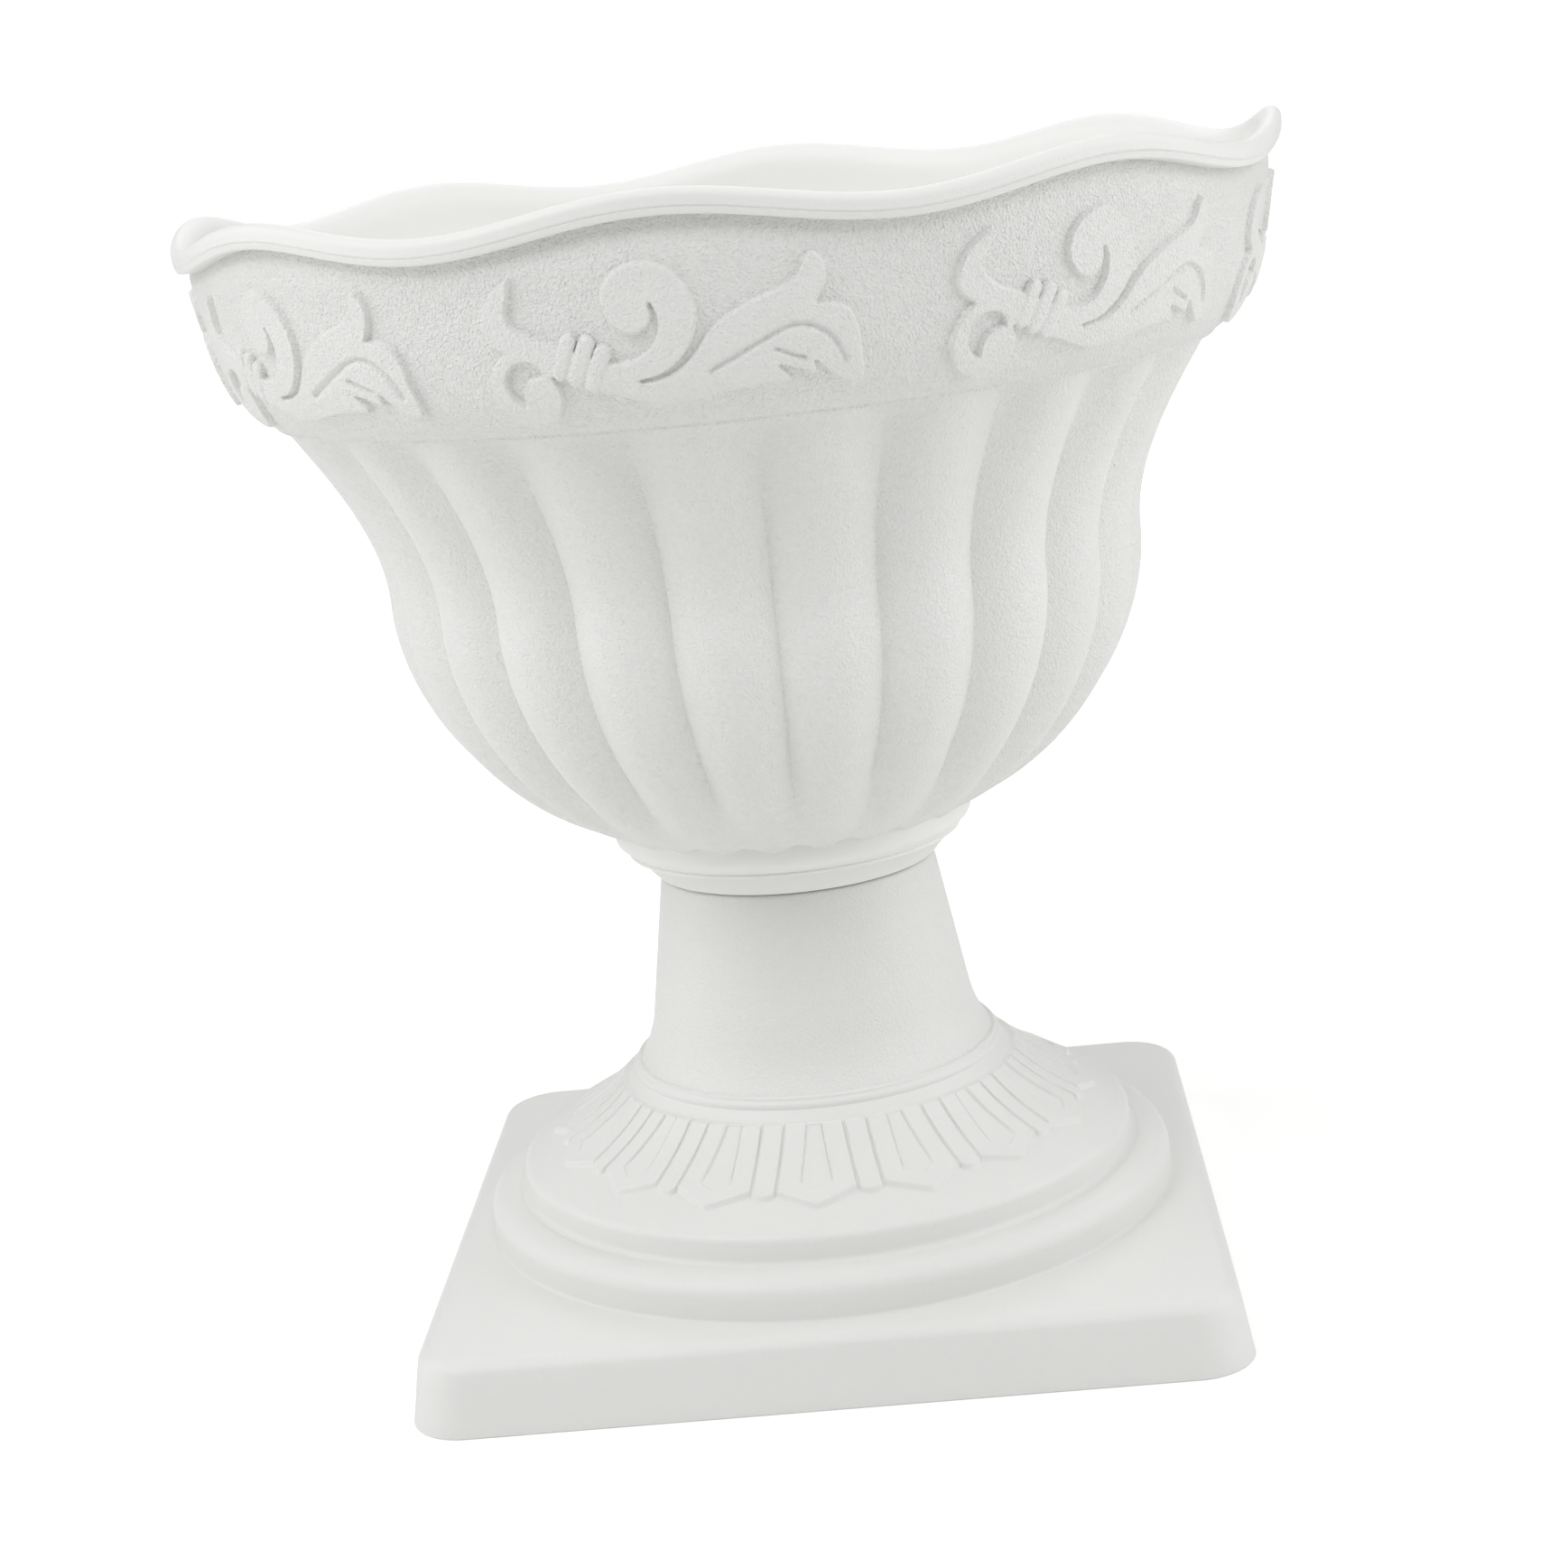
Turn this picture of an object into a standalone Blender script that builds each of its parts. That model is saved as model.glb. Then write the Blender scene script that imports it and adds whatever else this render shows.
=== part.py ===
"""A two-part urn planter with a loose drain grid and a drain plug.

The gadrooned bowl stands on a hollow pedestal, with a short spigot under its foot in the top
of the column, and lifts straight off. Metres, +Z up. The origin is under the middle of the
plinth, on the ground, and -Y is the front.
"""

import math

import bmesh
import bpy
import numpy as np
from mathutils import Matrix, Vector
from mathutils.geometry import interpolate_bezier

# Fits and facets
WALL = 0.0024
GAP = 0.0003
BOWL_FACETS = 96
PEDESTAL_FACETS = 48
SMALL_FACETS = 32

# Plinth: a square plate with leaning sides, hollow underneath. Its ledge is the least distance
# from the lower step to its sides
PLINTH_LEDGE = 0.0091
PLINTH_HEIGHT = 0.0142
PLINTH_LEAN = 0.0023
PLINTH_CORNER_R = 0.0115
PLINTH_EDGE_R = 0.0027
PLINTH_WALL = 0.0026
CORNER_FACETS = 6

# Round steps on the plinth. A tread is how far a step reaches out beyond what stands on it
LOWER_TREAD = 0.0078
LOWER_STEP_HEIGHT = 0.0084
LOWER_EDGE_R = 0.0040
UPPER_TREAD = 0.0032
UPPER_STEP_HEIGHT = 0.0069
STEP_FILLET_R = 0.0016

# Apron: the concave sweep from the upper step to the column, with a bead near its top
APRON_R = 0.0605
APRON_HEIGHT = 0.0265
APRON_LOW_ANGLE = 25.6
APRON_HIGH_ANGLE = 79.3
APRON_LOW_PULL = 0.29
APRON_HIGH_PULL = 0.37
BEAD_HEIGHT = 0.0157
BEAD_R = 0.0010
BEAD_SINK = 10.0

# Column
COLUMN_TOP_R = 0.0284
COLUMN_SPREAD = 0.0047
COLUMN_HEIGHT = 0.0301
COLUMN_RIM_R = 0.0010

# Spigot under the bowl, and the bore in the column that takes it
SPIGOT_LENGTH = 0.0120
SOCKET_SPARE = 0.0020

# Foot and collar of the bowl. A flare is how far the piece widens from its bottom to its top
FOOT_OVERHANG = 0.0006
FOOT_FLARE = 0.0041
FOOT_HEIGHT = 0.0049
COLLAR_STEP = 0.0009
COLLAR_FLARE = 0.0026
COLLAR_HEIGHT = 0.0049
COLLAR_WALL = 0.0030
COLLAR_LOW_ANGLE = 40.0
COLLAR_TOP_ANGLE = 85.0
LOBE_UNDERCUT = 0.0012
LOBE_TUCK = 0.0018

# Body of the bowl: it swells to the waist and flares again under the band
WAIST_R = 0.0755
BELLY_HEIGHT = 0.0512
BELLY_LOW_ANGLE = 19.4
BELLY_LOW_PULL = 0.37
BODY_FLARE = 0.0164
FLARE_HEIGHT = 0.0378
FLARE_TOP_ANGLE = 51.8
BODY_PULL = 0.31
LOBES = 24
LOBE_DEPTH = 0.0033
BOWL_TURN = -3.5

# Band and lip
BAND_STEP = 0.0007
BAND_FLARE = 0.0126
BAND_HEIGHT = 0.0288
BAND_LOW_ANGLE = 23.0
BAND_TOP_ANGLE = 75.6
LIP_CLEAR = 0.0044
LIP_HEIGHT = 0.0049
LIP_OVERHANG = 0.0029
LIP_TOP_ROUND = 0.0021
LIP_LOW_ROUND = 0.0012
WAVES = 8
WAVE_RISE = 0.0023
WAVE_FADE = 0.0180

# Outlet, grid and plug
OUTLET_R = 0.0080
LEDGE_WIDTH = 0.0026
LEDGE_DEPTH = 0.0026
GRID_CLEARANCE = 0.0004
GRID_THICKNESS = 0.0020
GRID_HOLE_R = 0.0020
GRID_RINGS = 3
GRID_RIM = 0.0030
GRID_HOLE_FACETS = 8
PLUG_FLANGE_R = 0.0115
PLUG_FLANGE_THICKNESS = 0.0020
PLUG_GRIP_R = 0.0045
PLUG_GRIP_LENGTH = 0.0060
PLUG_CHAMFER = 0.0006

# Shared shape constants
PULL = 0.33
VERTICAL = 90.0
HALF_TURN = 180.0
OVERSHOOT = 0.0050
SHARP_ANGLE = math.radians(40.0)

# Colours are linear values
WHITE = (0.80, 0.80, 0.79, 1.0)
GREY = (0.16, 0.16, 0.165, 1.0)

# Radii worked out from the sizes above
COLUMN_FOOT_R = COLUMN_TOP_R + COLUMN_SPREAD
UPPER_STEP_R = APRON_R + UPPER_TREAD
LOWER_STEP_R = UPPER_STEP_R + LOWER_TREAD
PLINTH_HALF = LOWER_STEP_R + PLINTH_LEDGE
SOCKET_R = COLUMN_TOP_R - WALL
SPIGOT_R = SOCKET_R - GAP
FOOT_R = COLUMN_TOP_R + FOOT_OVERHANG
FOOT_TOP_R = FOOT_R + FOOT_FLARE
COLLAR_LOW_R = FOOT_TOP_R + COLLAR_STEP
COLLAR_R = COLLAR_LOW_R + COLLAR_FLARE
BORE_R = COLLAR_R - COLLAR_WALL
BODY_TOP_R = WAIST_R + BODY_FLARE
BAND_LOW_R = BODY_TOP_R + BAND_STEP
BAND_R = BAND_LOW_R + BAND_FLARE

# Heights above the ground, and above the bowl's seat, worked out from the sizes above
LOWER_STEP_TOP = PLINTH_HEIGHT + LOWER_STEP_HEIGHT
APRON_FOOT = LOWER_STEP_TOP + UPPER_STEP_HEIGHT
COLUMN_FOOT = APRON_FOOT + APRON_HEIGHT
PEDESTAL_TOP = COLUMN_FOOT + COLUMN_HEIGHT
BOWL_SEAT = PEDESTAL_TOP + GAP
COLLAR_TOP = FOOT_HEIGHT + COLLAR_HEIGHT
BELLY_FOOT = COLLAR_TOP + LOBE_TUCK
WAIST = BELLY_FOOT + BELLY_HEIGHT
BAND_FOOT = WAIST + FLARE_HEIGHT
BAND_TOP = BAND_FOOT + BAND_HEIGHT
LIP_BOTTOM = BAND_TOP + LIP_CLEAR
LIP_TOP = LIP_BOTTOM + LIP_HEIGHT
LEDGE = FOOT_HEIGHT + LEDGE_DEPTH


def clear_scene():
    """Remove whatever the file holds at the start."""
    for obj in list(bpy.data.objects):
        bpy.data.objects.remove(obj, do_unlink=True)


def new_collection(name):
    """Add an empty collection to the scene."""
    collection = bpy.data.collections.new(name)
    bpy.context.scene.collection.children.link(collection)
    return collection


def plastic(name, colour, roughness):
    """Make a Principled material for a plastic or rubber moulding."""
    material = bpy.data.materials.new(name)
    material.use_nodes = True
    shader = material.node_tree.nodes["Principled BSDF"]
    shader.inputs["Base Color"].default_value = colour
    shader.inputs["Roughness"].default_value = roughness
    shader.inputs["Metallic"].default_value = 0.0
    return material


def add_object(name, mesh, collection, material=None):
    """Put a mesh into a collection as an object, smooth but for its sharp edges."""
    mesh.shade_smooth()
    mesh.set_sharp_from_angle(angle=SHARP_ANGLE)
    if material is not None:
        mesh.materials.append(material)
    obj = bpy.data.objects.new(name, mesh)
    collection.objects.link(obj)
    return obj


def sweep(start, start_angle, end, end_angle, steps, start_pull=PULL, end_pull=PULL):
    """Points (radius, height) along a curve that leaves and arrives at given angles.

    The angles are from the horizontal, in degrees, both in the direction of travel. A pull is
    the length of that end's handle as a share of the straight distance.
    """
    first, last = Vector((*start, 0)), Vector((*end, 0))
    span = (last - first).length
    out, home = math.radians(start_angle), math.radians(end_angle)
    handle_1 = first + start_pull * span * Vector((math.cos(out), math.sin(out), 0))
    handle_2 = last - end_pull * span * Vector((math.cos(home), math.sin(home), 0))
    return [(p.x, p.y) for p in interpolate_bezier(first, handle_1, handle_2, last, steps + 1)]


def arc(centre, radius, start_angle, end_angle, steps):
    """Points (radius, height) on a round corner, angles in degrees."""
    angles = np.radians(np.linspace(start_angle, end_angle, steps + 1))
    return [(centre[0] + radius * math.cos(a), centre[1] + radius * math.sin(a)) for a in angles]


def offset(points, distance):
    """Shift a rising profile by a distance to its left, square to its own direction."""
    line = np.array(points)
    direction = np.gradient(line, axis=0)
    direction /= np.linalg.norm(direction, axis=1)[:, None]
    normal = np.column_stack([-direction[:, 1], direction[:, 0]])
    return [tuple(p) for p in line + distance * normal]


def smoothstep(value):
    """Rise from 0 to 1 with level ends."""
    share = np.clip(value, 0.0, 1.0)
    return share * share * (3.0 - 2.0 * share)


def turned(name, profile, facets, collection, material=None):
    """Sweep a profile round Z with a Screw. It runs down its outer side, top to bottom."""
    mesh = bpy.data.meshes.new(name)
    edges = [(i, i + 1) for i in range(len(profile) - 1)]
    mesh.from_pydata([(r, 0.0, z) for r, z in profile], edges, [])
    obj = add_object(name, mesh, collection, material)
    screw = obj.modifiers.new("turn", "SCREW")
    screw.steps = facets
    screw.render_steps = facets
    screw.use_merge_vertices = True
    screw.merge_threshold = 0.00001
    screw.use_smooth_shade = True
    return obj


def boolean(target, other, operation):
    """Cut or join another object, which becomes a hidden guide."""
    modifier = target.modifiers.new(operation.lower() + "_" + other.name, "BOOLEAN")
    modifier.operation = operation
    modifier.object = other
    modifier.solver = "EXACT"
    other.hide_render = True
    other.display_type = "WIRE"


# Bowl


def lobed_shell(name, rings, facets, collection, material):
    """Loft a closed shell through rings that are round, lobed or waved.

    A ring is (radius, height, groove, wave): at the middle of a groove between two lobes its
    radius is smaller by groove, and it rises and falls by wave along the lip's eight swells. No
    turned shape has such rings, so the faces between them are made here.
    """
    table = np.array(rings)
    angle = np.arange(facets) * 2.0 * math.pi / facets
    across = np.abs((angle * LOBES / (2.0 * math.pi) + 0.5) % 1.0 - 0.5) * 2.0
    push = across ** 2
    swell = np.cos(WAVES * angle)
    radius = table[:, 0:1] - table[:, 2:3] * push
    height = table[:, 1:2] + table[:, 3:4] * swell
    points = np.stack([radius * np.cos(angle), radius * np.sin(angle), height], axis=2)
    count = len(rings)
    here = np.arange(count * facets).reshape(count, facets)
    right = np.roll(here, -1, axis=1)
    below = np.roll(here, -1, axis=0)
    below_right = np.roll(right, -1, axis=0)
    faces = np.stack([here, below, below_right, right], axis=2).reshape(-1, 4)
    mesh = bpy.data.meshes.new(name)
    mesh.from_pydata(points.reshape(-1, 3).tolist(), [], faces.tolist())
    return add_object(name, mesh, collection, material)


def wave_share(height):
    """How much of the lip's wave a point at this height follows."""
    return WAVE_RISE * float(smoothstep((height - LIP_BOTTOM) / WAVE_FADE + 1.0))


def plain_rings(points):
    """Rings without grooves."""
    return [(r, z, 0.0, wave_share(z)) for r, z in points]


def lobed_rings(points):
    """Rings of the body, whose grooves run out against the collar."""
    return [(r, z, min(LOBE_DEPTH, r - COLLAR_R), 0.0) for r, z in points]


def inner_side(rings):
    """The same rings on the inner side of the wall, with the same grooves and wave."""
    line = offset([ring[:2] for ring in rings], WALL)
    return [point + ring[2:] for point, ring in zip(line, rings)]


def body_profile(belly_steps, flare_steps):
    """Outer crest line of the lobes, from the collar up to the band."""
    foot = (COLLAR_R + LOBE_UNDERCUT, BELLY_FOOT)
    waist = (WAIST_R, WAIST)
    top = (BODY_TOP_R, BAND_FOOT)
    belly = sweep(foot, BELLY_LOW_ANGLE, waist, VERTICAL, belly_steps, BELLY_LOW_PULL, BODY_PULL)
    flare = sweep(waist, VERTICAL, top, FLARE_TOP_ANGLE, flare_steps, PULL, BODY_PULL)
    return belly + flare[1:]


def band_profile(steps):
    """Outer line of the upright band, from its rounded lower corner up."""
    return sweep((BAND_LOW_R, BAND_FOOT + GAP), BAND_LOW_ANGLE, (BAND_R, BAND_TOP),
                 BAND_TOP_ANGLE, steps)


def make_bowl(collection, material):
    """The planting bowl: lip, band, lobed body, collar, foot, spigot, floor and outlet."""
    lip_r = BAND_R + LIP_OVERHANG
    lip_bore = BAND_R - WALL
    top_centre = (lip_r - LIP_TOP_ROUND, LIP_TOP - LIP_TOP_ROUND)
    low_centre = (lip_r - LIP_LOW_ROUND, LIP_BOTTOM + LIP_LOW_ROUND)
    inner_centre = (lip_bore + LIP_TOP_ROUND, LIP_TOP - LIP_TOP_ROUND)
    lip_outside = arc(top_centre, LIP_TOP_ROUND, 90.0, 0.0, 3)
    lip_outside += arc(low_centre, LIP_LOW_ROUND, 0.0, -90.0, 2)
    lip_outside.append((BAND_R + GAP, LIP_BOTTOM))
    rings = plain_rings(lip_outside)
    rings += plain_rings(reversed(band_profile(4)))
    rings += lobed_rings(reversed(body_profile(6, 4)))

    collar_foot = (COLLAR_LOW_R, FOOT_HEIGHT + GAP)
    collar = sweep(collar_foot, COLLAR_LOW_ANGLE, (COLLAR_R, COLLAR_TOP), COLLAR_TOP_ANGLE, 2)
    foot = [(FOOT_TOP_R, FOOT_HEIGHT), (FOOT_R, 0.0)]
    rings += plain_rings(list(reversed(collar)) + foot)

    spigot_bore = SPIGOT_R - WALL
    spigot = [(SPIGOT_R, 0.0), (SPIGOT_R, -SPIGOT_LENGTH)]
    spigot += [(spigot_bore, -SPIGOT_LENGTH), (spigot_bore, 0.0)]
    outlet = [(OUTLET_R, 0.0), (OUTLET_R, WALL)]
    well = [(FOOT_R - WALL, WALL), (BORE_R - LEDGE_WIDTH, LEDGE), (BORE_R, LEDGE)]
    bore_top = (BORE_R, BELLY_FOOT + GAP)
    rings += plain_rings(spigot + outlet + well + [bore_top])

    rings += inner_side(lobed_rings(body_profile(4, 3)))
    rings += inner_side(plain_rings(band_profile(3)))[:-1]
    lip_inside = [(lip_bore, LIP_BOTTOM)] + arc(inner_centre, LIP_TOP_ROUND, 180.0, 90.0, 2)
    rings += plain_rings(lip_inside)
    bowl = lobed_shell("bowl", rings, BOWL_FACETS, collection, material)
    bowl.location = (0.0, 0.0, BOWL_SEAT)
    bowl.rotation_euler = (0.0, 0.0, math.radians(BOWL_TURN))
    return bowl


# Pedestal


def square_block(name, half_low, half_high, low, high, corner, edge, collection, material=None):
    """A square block with leaning sides, round corners in plan and an optional round top edge."""
    bm = bmesh.new()
    bmesh.ops.create_cube(bm, size=2.0)
    for vert in bm.verts:
        half = half_high if vert.co.z > 0.0 else half_low
        vert.co = Vector((vert.co.x * half, vert.co.y * half, high if vert.co.z > 0.0 else low))
    upright = [e for e in bm.edges if abs(e.verts[0].co.z - e.verts[1].co.z) > GAP]
    bmesh.ops.bevel(bm, geom=upright, offset=corner, offset_type="OFFSET",
                    segments=CORNER_FACETS, profile=0.5, affect="EDGES")
    if edge > 0.0:
        rim = [e for e in bm.edges if min(v.co.z for v in e.verts) > high - GAP]
        bmesh.ops.bevel(bm, geom=rim, offset=edge, offset_type="OFFSET",
                        segments=2, profile=0.5, affect="EDGES")
    mesh = bpy.data.meshes.new(name)
    bm.to_mesh(mesh)
    bm.free()
    return add_object(name, mesh, collection, material)


def apron_profile(steps):
    """The concave sweep, from the column down to the upper step."""
    return sweep((COLUMN_FOOT_R, COLUMN_FOOT), -APRON_HIGH_ANGLE, (APRON_R, APRON_FOOT),
                 -APRON_LOW_ANGLE, steps, APRON_HIGH_PULL, APRON_LOW_PULL)


def with_bead(points, height, radius):
    """Put a half-round bead on a falling profile, centred on it at the given height."""
    line = np.array(points)
    middle = np.array([np.interp(-height, -line[:, 1], line[:, 0]), height])
    above = line[line[:, 1] > height + radius]
    below = line[line[:, 1] < height - radius]
    fall = below[0] - above[-1]
    slope = math.degrees(math.atan2(fall[1], fall[0]))
    bead = arc(middle, radius, slope + HALF_TURN - BEAD_SINK, slope + BEAD_SINK, 4)
    return [tuple(p) for p in above] + bead + [tuple(p) for p in below]


def make_pedestal(collection, cutters, material):
    """Column, bead, apron and two steps on a square plinth, one hollow moulding."""
    pedestal = square_block("pedestal", PLINTH_HALF, PLINTH_HALF - PLINTH_LEAN, 0.0,
                            PLINTH_HEIGHT, PLINTH_CORNER_R, PLINTH_EDGE_R, collection, material)

    rim_centre = (COLUMN_TOP_R - COLUMN_RIM_R, PEDESTAL_TOP - COLUMN_RIM_R)
    column = arc(rim_centre, COLUMN_RIM_R, 90.0, 0.0, 2)
    apron = with_bead(apron_profile(9), APRON_FOOT + BEAD_HEIGHT, BEAD_R)
    upper_edge = sweep((APRON_R, APRON_FOOT), -APRON_LOW_ANGLE,
                       (UPPER_STEP_R, APRON_FOOT - UPPER_TREAD), -VERTICAL, 3)
    fillet = [(UPPER_STEP_R, LOWER_STEP_TOP + STEP_FILLET_R),
              (UPPER_STEP_R + STEP_FILLET_R, LOWER_STEP_TOP)]
    lower_centre = (LOWER_STEP_R - LOWER_EDGE_R, LOWER_STEP_TOP - LOWER_EDGE_R)
    lower_edge = arc(lower_centre, LOWER_EDGE_R, 90.0, 0.0, 3)
    buried = PLINTH_HEIGHT - WALL / 2.0
    profile = [(0.0, PEDESTAL_TOP)] + column + apron + upper_edge[1:] + fillet + lower_edge
    profile += [(LOWER_STEP_R, buried), (0.0, buried)]
    turned_body = turned("turned_body", profile, PEDESTAL_FACETS, cutters)
    boolean(pedestal, turned_body, "UNION")

    lean = PLINTH_LEAN / PLINTH_HEIGHT
    deck = PLINTH_HEIGHT - WALL
    cavity_low = PLINTH_HALF - PLINTH_WALL + lean * OVERSHOOT
    cavity_high = PLINTH_HALF - PLINTH_WALL - lean * deck
    cavity = square_block("plinth_cavity", cavity_low, cavity_high, -OVERSHOOT, deck,
                          PLINTH_CORNER_R - PLINTH_WALL, 0.0, cutters)
    boolean(pedestal, cavity, "DIFFERENCE")

    socket_foot = PEDESTAL_TOP - SPIGOT_LENGTH - SOCKET_SPARE
    socket = [(0.0, PEDESTAL_TOP + OVERSHOOT), (SOCKET_R, PEDESTAL_TOP + OVERSHOOT),
              (SOCKET_R, socket_foot)]
    inner_apron = offset(apron_profile(5), -WALL)
    ring_bore = UPPER_STEP_R - WALL
    step_bore = LOWER_STEP_R - WALL
    steps = [(ring_bore, APRON_FOOT - 2.0 * WALL), (ring_bore, LOWER_STEP_TOP - WALL),
             (step_bore - WALL, LOWER_STEP_TOP - WALL), (step_bore, LOWER_STEP_TOP - 2.0 * WALL),
             (step_bore, -OVERSHOOT), (0.0, -OVERSHOOT)]
    core = turned("core", socket + inner_apron + steps, PEDESTAL_FACETS, cutters)
    boolean(pedestal, core, "DIFFERENCE")
    return pedestal


# Drain grid and plug


def make_drain_grid(collection, cutters, material, bowl):
    """A loose disc with rings of round holes that lies on the ledge in the bowl's foot."""
    grid_r = BORE_R - GRID_CLEARANCE
    disc = [(0.0, GRID_THICKNESS), (grid_r, GRID_THICKNESS), (grid_r, 0.0), (0.0, 0.0)]
    grid = turned("drain_grid", disc, PEDESTAL_FACETS, collection, material)
    bm = bmesh.new()
    ring_pitch = (grid_r - GRID_RIM - GRID_HOLE_R) / GRID_RINGS
    for ring in range(GRID_RINGS + 1):
        holes = max(6 * ring, 1)
        for hole in range(holes):
            angle = 2.0 * math.pi * hole / holes
            centre = Vector((math.cos(angle), math.sin(angle), 0.0)) * ring * ring_pitch
            place = Matrix.Translation(centre + Vector((0.0, 0.0, GRID_THICKNESS / 2.0)))
            bmesh.ops.create_cone(bm, cap_ends=True, segments=GRID_HOLE_FACETS,
                                  radius1=GRID_HOLE_R, radius2=GRID_HOLE_R,
                                  depth=2.0 * GRID_THICKNESS, matrix=place)
    mesh = bpy.data.meshes.new("grid_holes")
    bm.to_mesh(mesh)
    bm.free()
    holes_cutter = add_object("grid_holes", mesh, cutters)
    boolean(grid, holes_cutter, "DIFFERENCE")
    grid.parent = bowl
    grid.location = (0.0, 0.0, LEDGE + GAP)
    holes_cutter.parent = grid
    return grid


def make_drain_plug(collection, material, bowl):
    """A soft stopper with a flange and a grip, pushed into the outlet from below."""
    shank_r = OUTLET_R - GAP
    shank_top = WALL + GAP
    grip_top = -PLUG_FLANGE_THICKNESS
    grip_foot = grip_top - PLUG_GRIP_LENGTH
    profile = [
        (0.0, shank_top), (shank_r - PLUG_CHAMFER, shank_top),
        (shank_r, shank_top - PLUG_CHAMFER), (shank_r, 0.0),
        (PLUG_FLANGE_R, 0.0), (PLUG_FLANGE_R, grip_top),
        (PLUG_GRIP_R, grip_top), (PLUG_GRIP_R, grip_foot + PLUG_CHAMFER),
        (PLUG_GRIP_R - PLUG_CHAMFER, grip_foot), (0.0, grip_foot),
    ]
    plug = turned("drain_plug", profile, SMALL_FACETS, collection, material)
    plug.parent = bowl
    plug.location = (0.0, 0.0, -GAP)
    return plug


def main():
    """Build the planter."""
    clear_scene()
    parts = new_collection("urn_planter")
    cutters = new_collection("cutters")
    make_pedestal(parts, cutters, plastic("pedestal_plastic", WHITE, 0.5))
    bowl = make_bowl(parts, plastic("bowl_plastic", WHITE, 0.55))
    make_drain_grid(parts, cutters, plastic("grid_plastic", WHITE, 0.5), bowl)
    make_drain_plug(parts, plastic("plug_rubber", GREY, 0.7), bowl)


main()
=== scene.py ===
"""The looks of a two-part urn planter in white polypropylene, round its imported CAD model.

The cells below are read in order, as a lesson. Lengths are in millimetres and become metres
when a mesh is written. +Z is up, the ground is z = 0, and -Y is the front.
"""

# %% [markdown]
# # The frame and the camera
# The CAD model gives every piece its place and its size. It is loaded first. No piece made here may
# be larger than it. The camera stands where the photographer stood: a little to the right, above
# the rim, close, and tipped to one side.

# %% Load the imported model
import math

import bpy
import numpy as np
from mathutils import Matrix, Vector


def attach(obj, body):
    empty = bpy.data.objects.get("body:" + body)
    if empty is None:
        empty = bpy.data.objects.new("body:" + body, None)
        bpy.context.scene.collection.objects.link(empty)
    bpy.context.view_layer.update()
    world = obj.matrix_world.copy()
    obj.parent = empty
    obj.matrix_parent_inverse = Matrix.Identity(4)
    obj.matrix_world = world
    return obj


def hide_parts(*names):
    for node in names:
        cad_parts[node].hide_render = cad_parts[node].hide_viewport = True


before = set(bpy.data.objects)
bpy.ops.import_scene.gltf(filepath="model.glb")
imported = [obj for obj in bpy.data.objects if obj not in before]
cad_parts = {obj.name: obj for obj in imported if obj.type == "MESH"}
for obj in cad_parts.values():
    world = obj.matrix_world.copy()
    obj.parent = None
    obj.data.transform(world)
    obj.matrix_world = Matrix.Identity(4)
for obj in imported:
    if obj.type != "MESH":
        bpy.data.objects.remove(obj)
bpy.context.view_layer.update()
MM = 0.001


def put(name, data):
    """A new object in the scene, of a mesh, a curve, a lamp or a camera."""
    thing = bpy.data.objects.new(name, data)
    bpy.context.scene.collection.objects.link(thing)
    return thing


# %% The camera
CAMERA_PLACE = (35.5, -598.0, 242.4)
CAMERA_TURN = 3.5
CAMERA_DIP = 13.204
CAMERA_ROLL = -6.132
CAMERA_LENS = 68.77
CAMERA_SENSOR = 36.0

lens = bpy.data.cameras.new("camera")
lens.sensor_width = CAMERA_SENSOR
lens.lens = CAMERA_LENS
camera = put("camera", lens)
camera.matrix_world = (
    Matrix.Translation(Vector(CAMERA_PLACE) * MM)
    @ Matrix.Rotation(math.radians(CAMERA_TURN), 4, "Z")
    @ Matrix.Rotation(math.radians(90.0 - CAMERA_DIP), 4, "X")
    @ Matrix.Rotation(math.radians(CAMERA_ROLL), 4, "Z")
)
bpy.context.scene.camera = camera
print("camera stands", round(camera.matrix_world.translation.length, 3), "m from the pot's foot")

# %% [markdown]
# # Drawing with curves and rings
# A moulding like this is drawn as a line in a plane, radius against height, which then goes
# round the axis. The line is made of sweeps, which are cubic curves with a known direction at
# each end, and of round corners. A Screw modifier could carry one line round, but here the
# radius also changes with the angle, for lobes, waves and a square plinth. So each surface is
# an array of rings, worked out as whole numpy arrays, and one function makes it a mesh.

# %% Curves in the plane of radius and height
CURVE_STEPS = 60
SAME_POINT = 1e-6


def sweep(start, end, pulls=(0.33, 0.33), steps=CURVE_STEPS):
    """A cubic curve between two nodes. A node is a radius, a height and the line's direction
    there, in degrees from the horizontal.

    Each handle is its pull times the straight distance between the nodes. The curve is the sum
    of its four control points with the weights (1-t)^3, 3t(1-t)^2, 3t^2(1-t) and t^3.
    """
    first, last = np.array(start[:2], float), np.array(end[:2], float)
    span = np.hypot(*(last - first))
    out, home = math.radians(start[2]), math.radians(end[2])
    second = first + pulls[0] * span * np.array([math.cos(out), math.sin(out)])
    third = last - pulls[1] * span * np.array([math.cos(home), math.sin(home)])
    t = np.linspace(0.0, 1.0, steps + 1)[:, None]
    s = 1.0 - t
    return s**3 * first + 3 * t * s**2 * second + 3 * t**2 * s * third + t**3 * last


def corner(centre, radius, start_angle, end_angle, steps):
    """Points on a round corner: its centre plus the radius turned from angle to angle."""
    angle = np.radians(np.linspace(start_angle, end_angle, steps + 1))
    return np.column_stack([centre[0] + radius * np.cos(angle), centre[1] + radius * np.sin(angle)])


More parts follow.
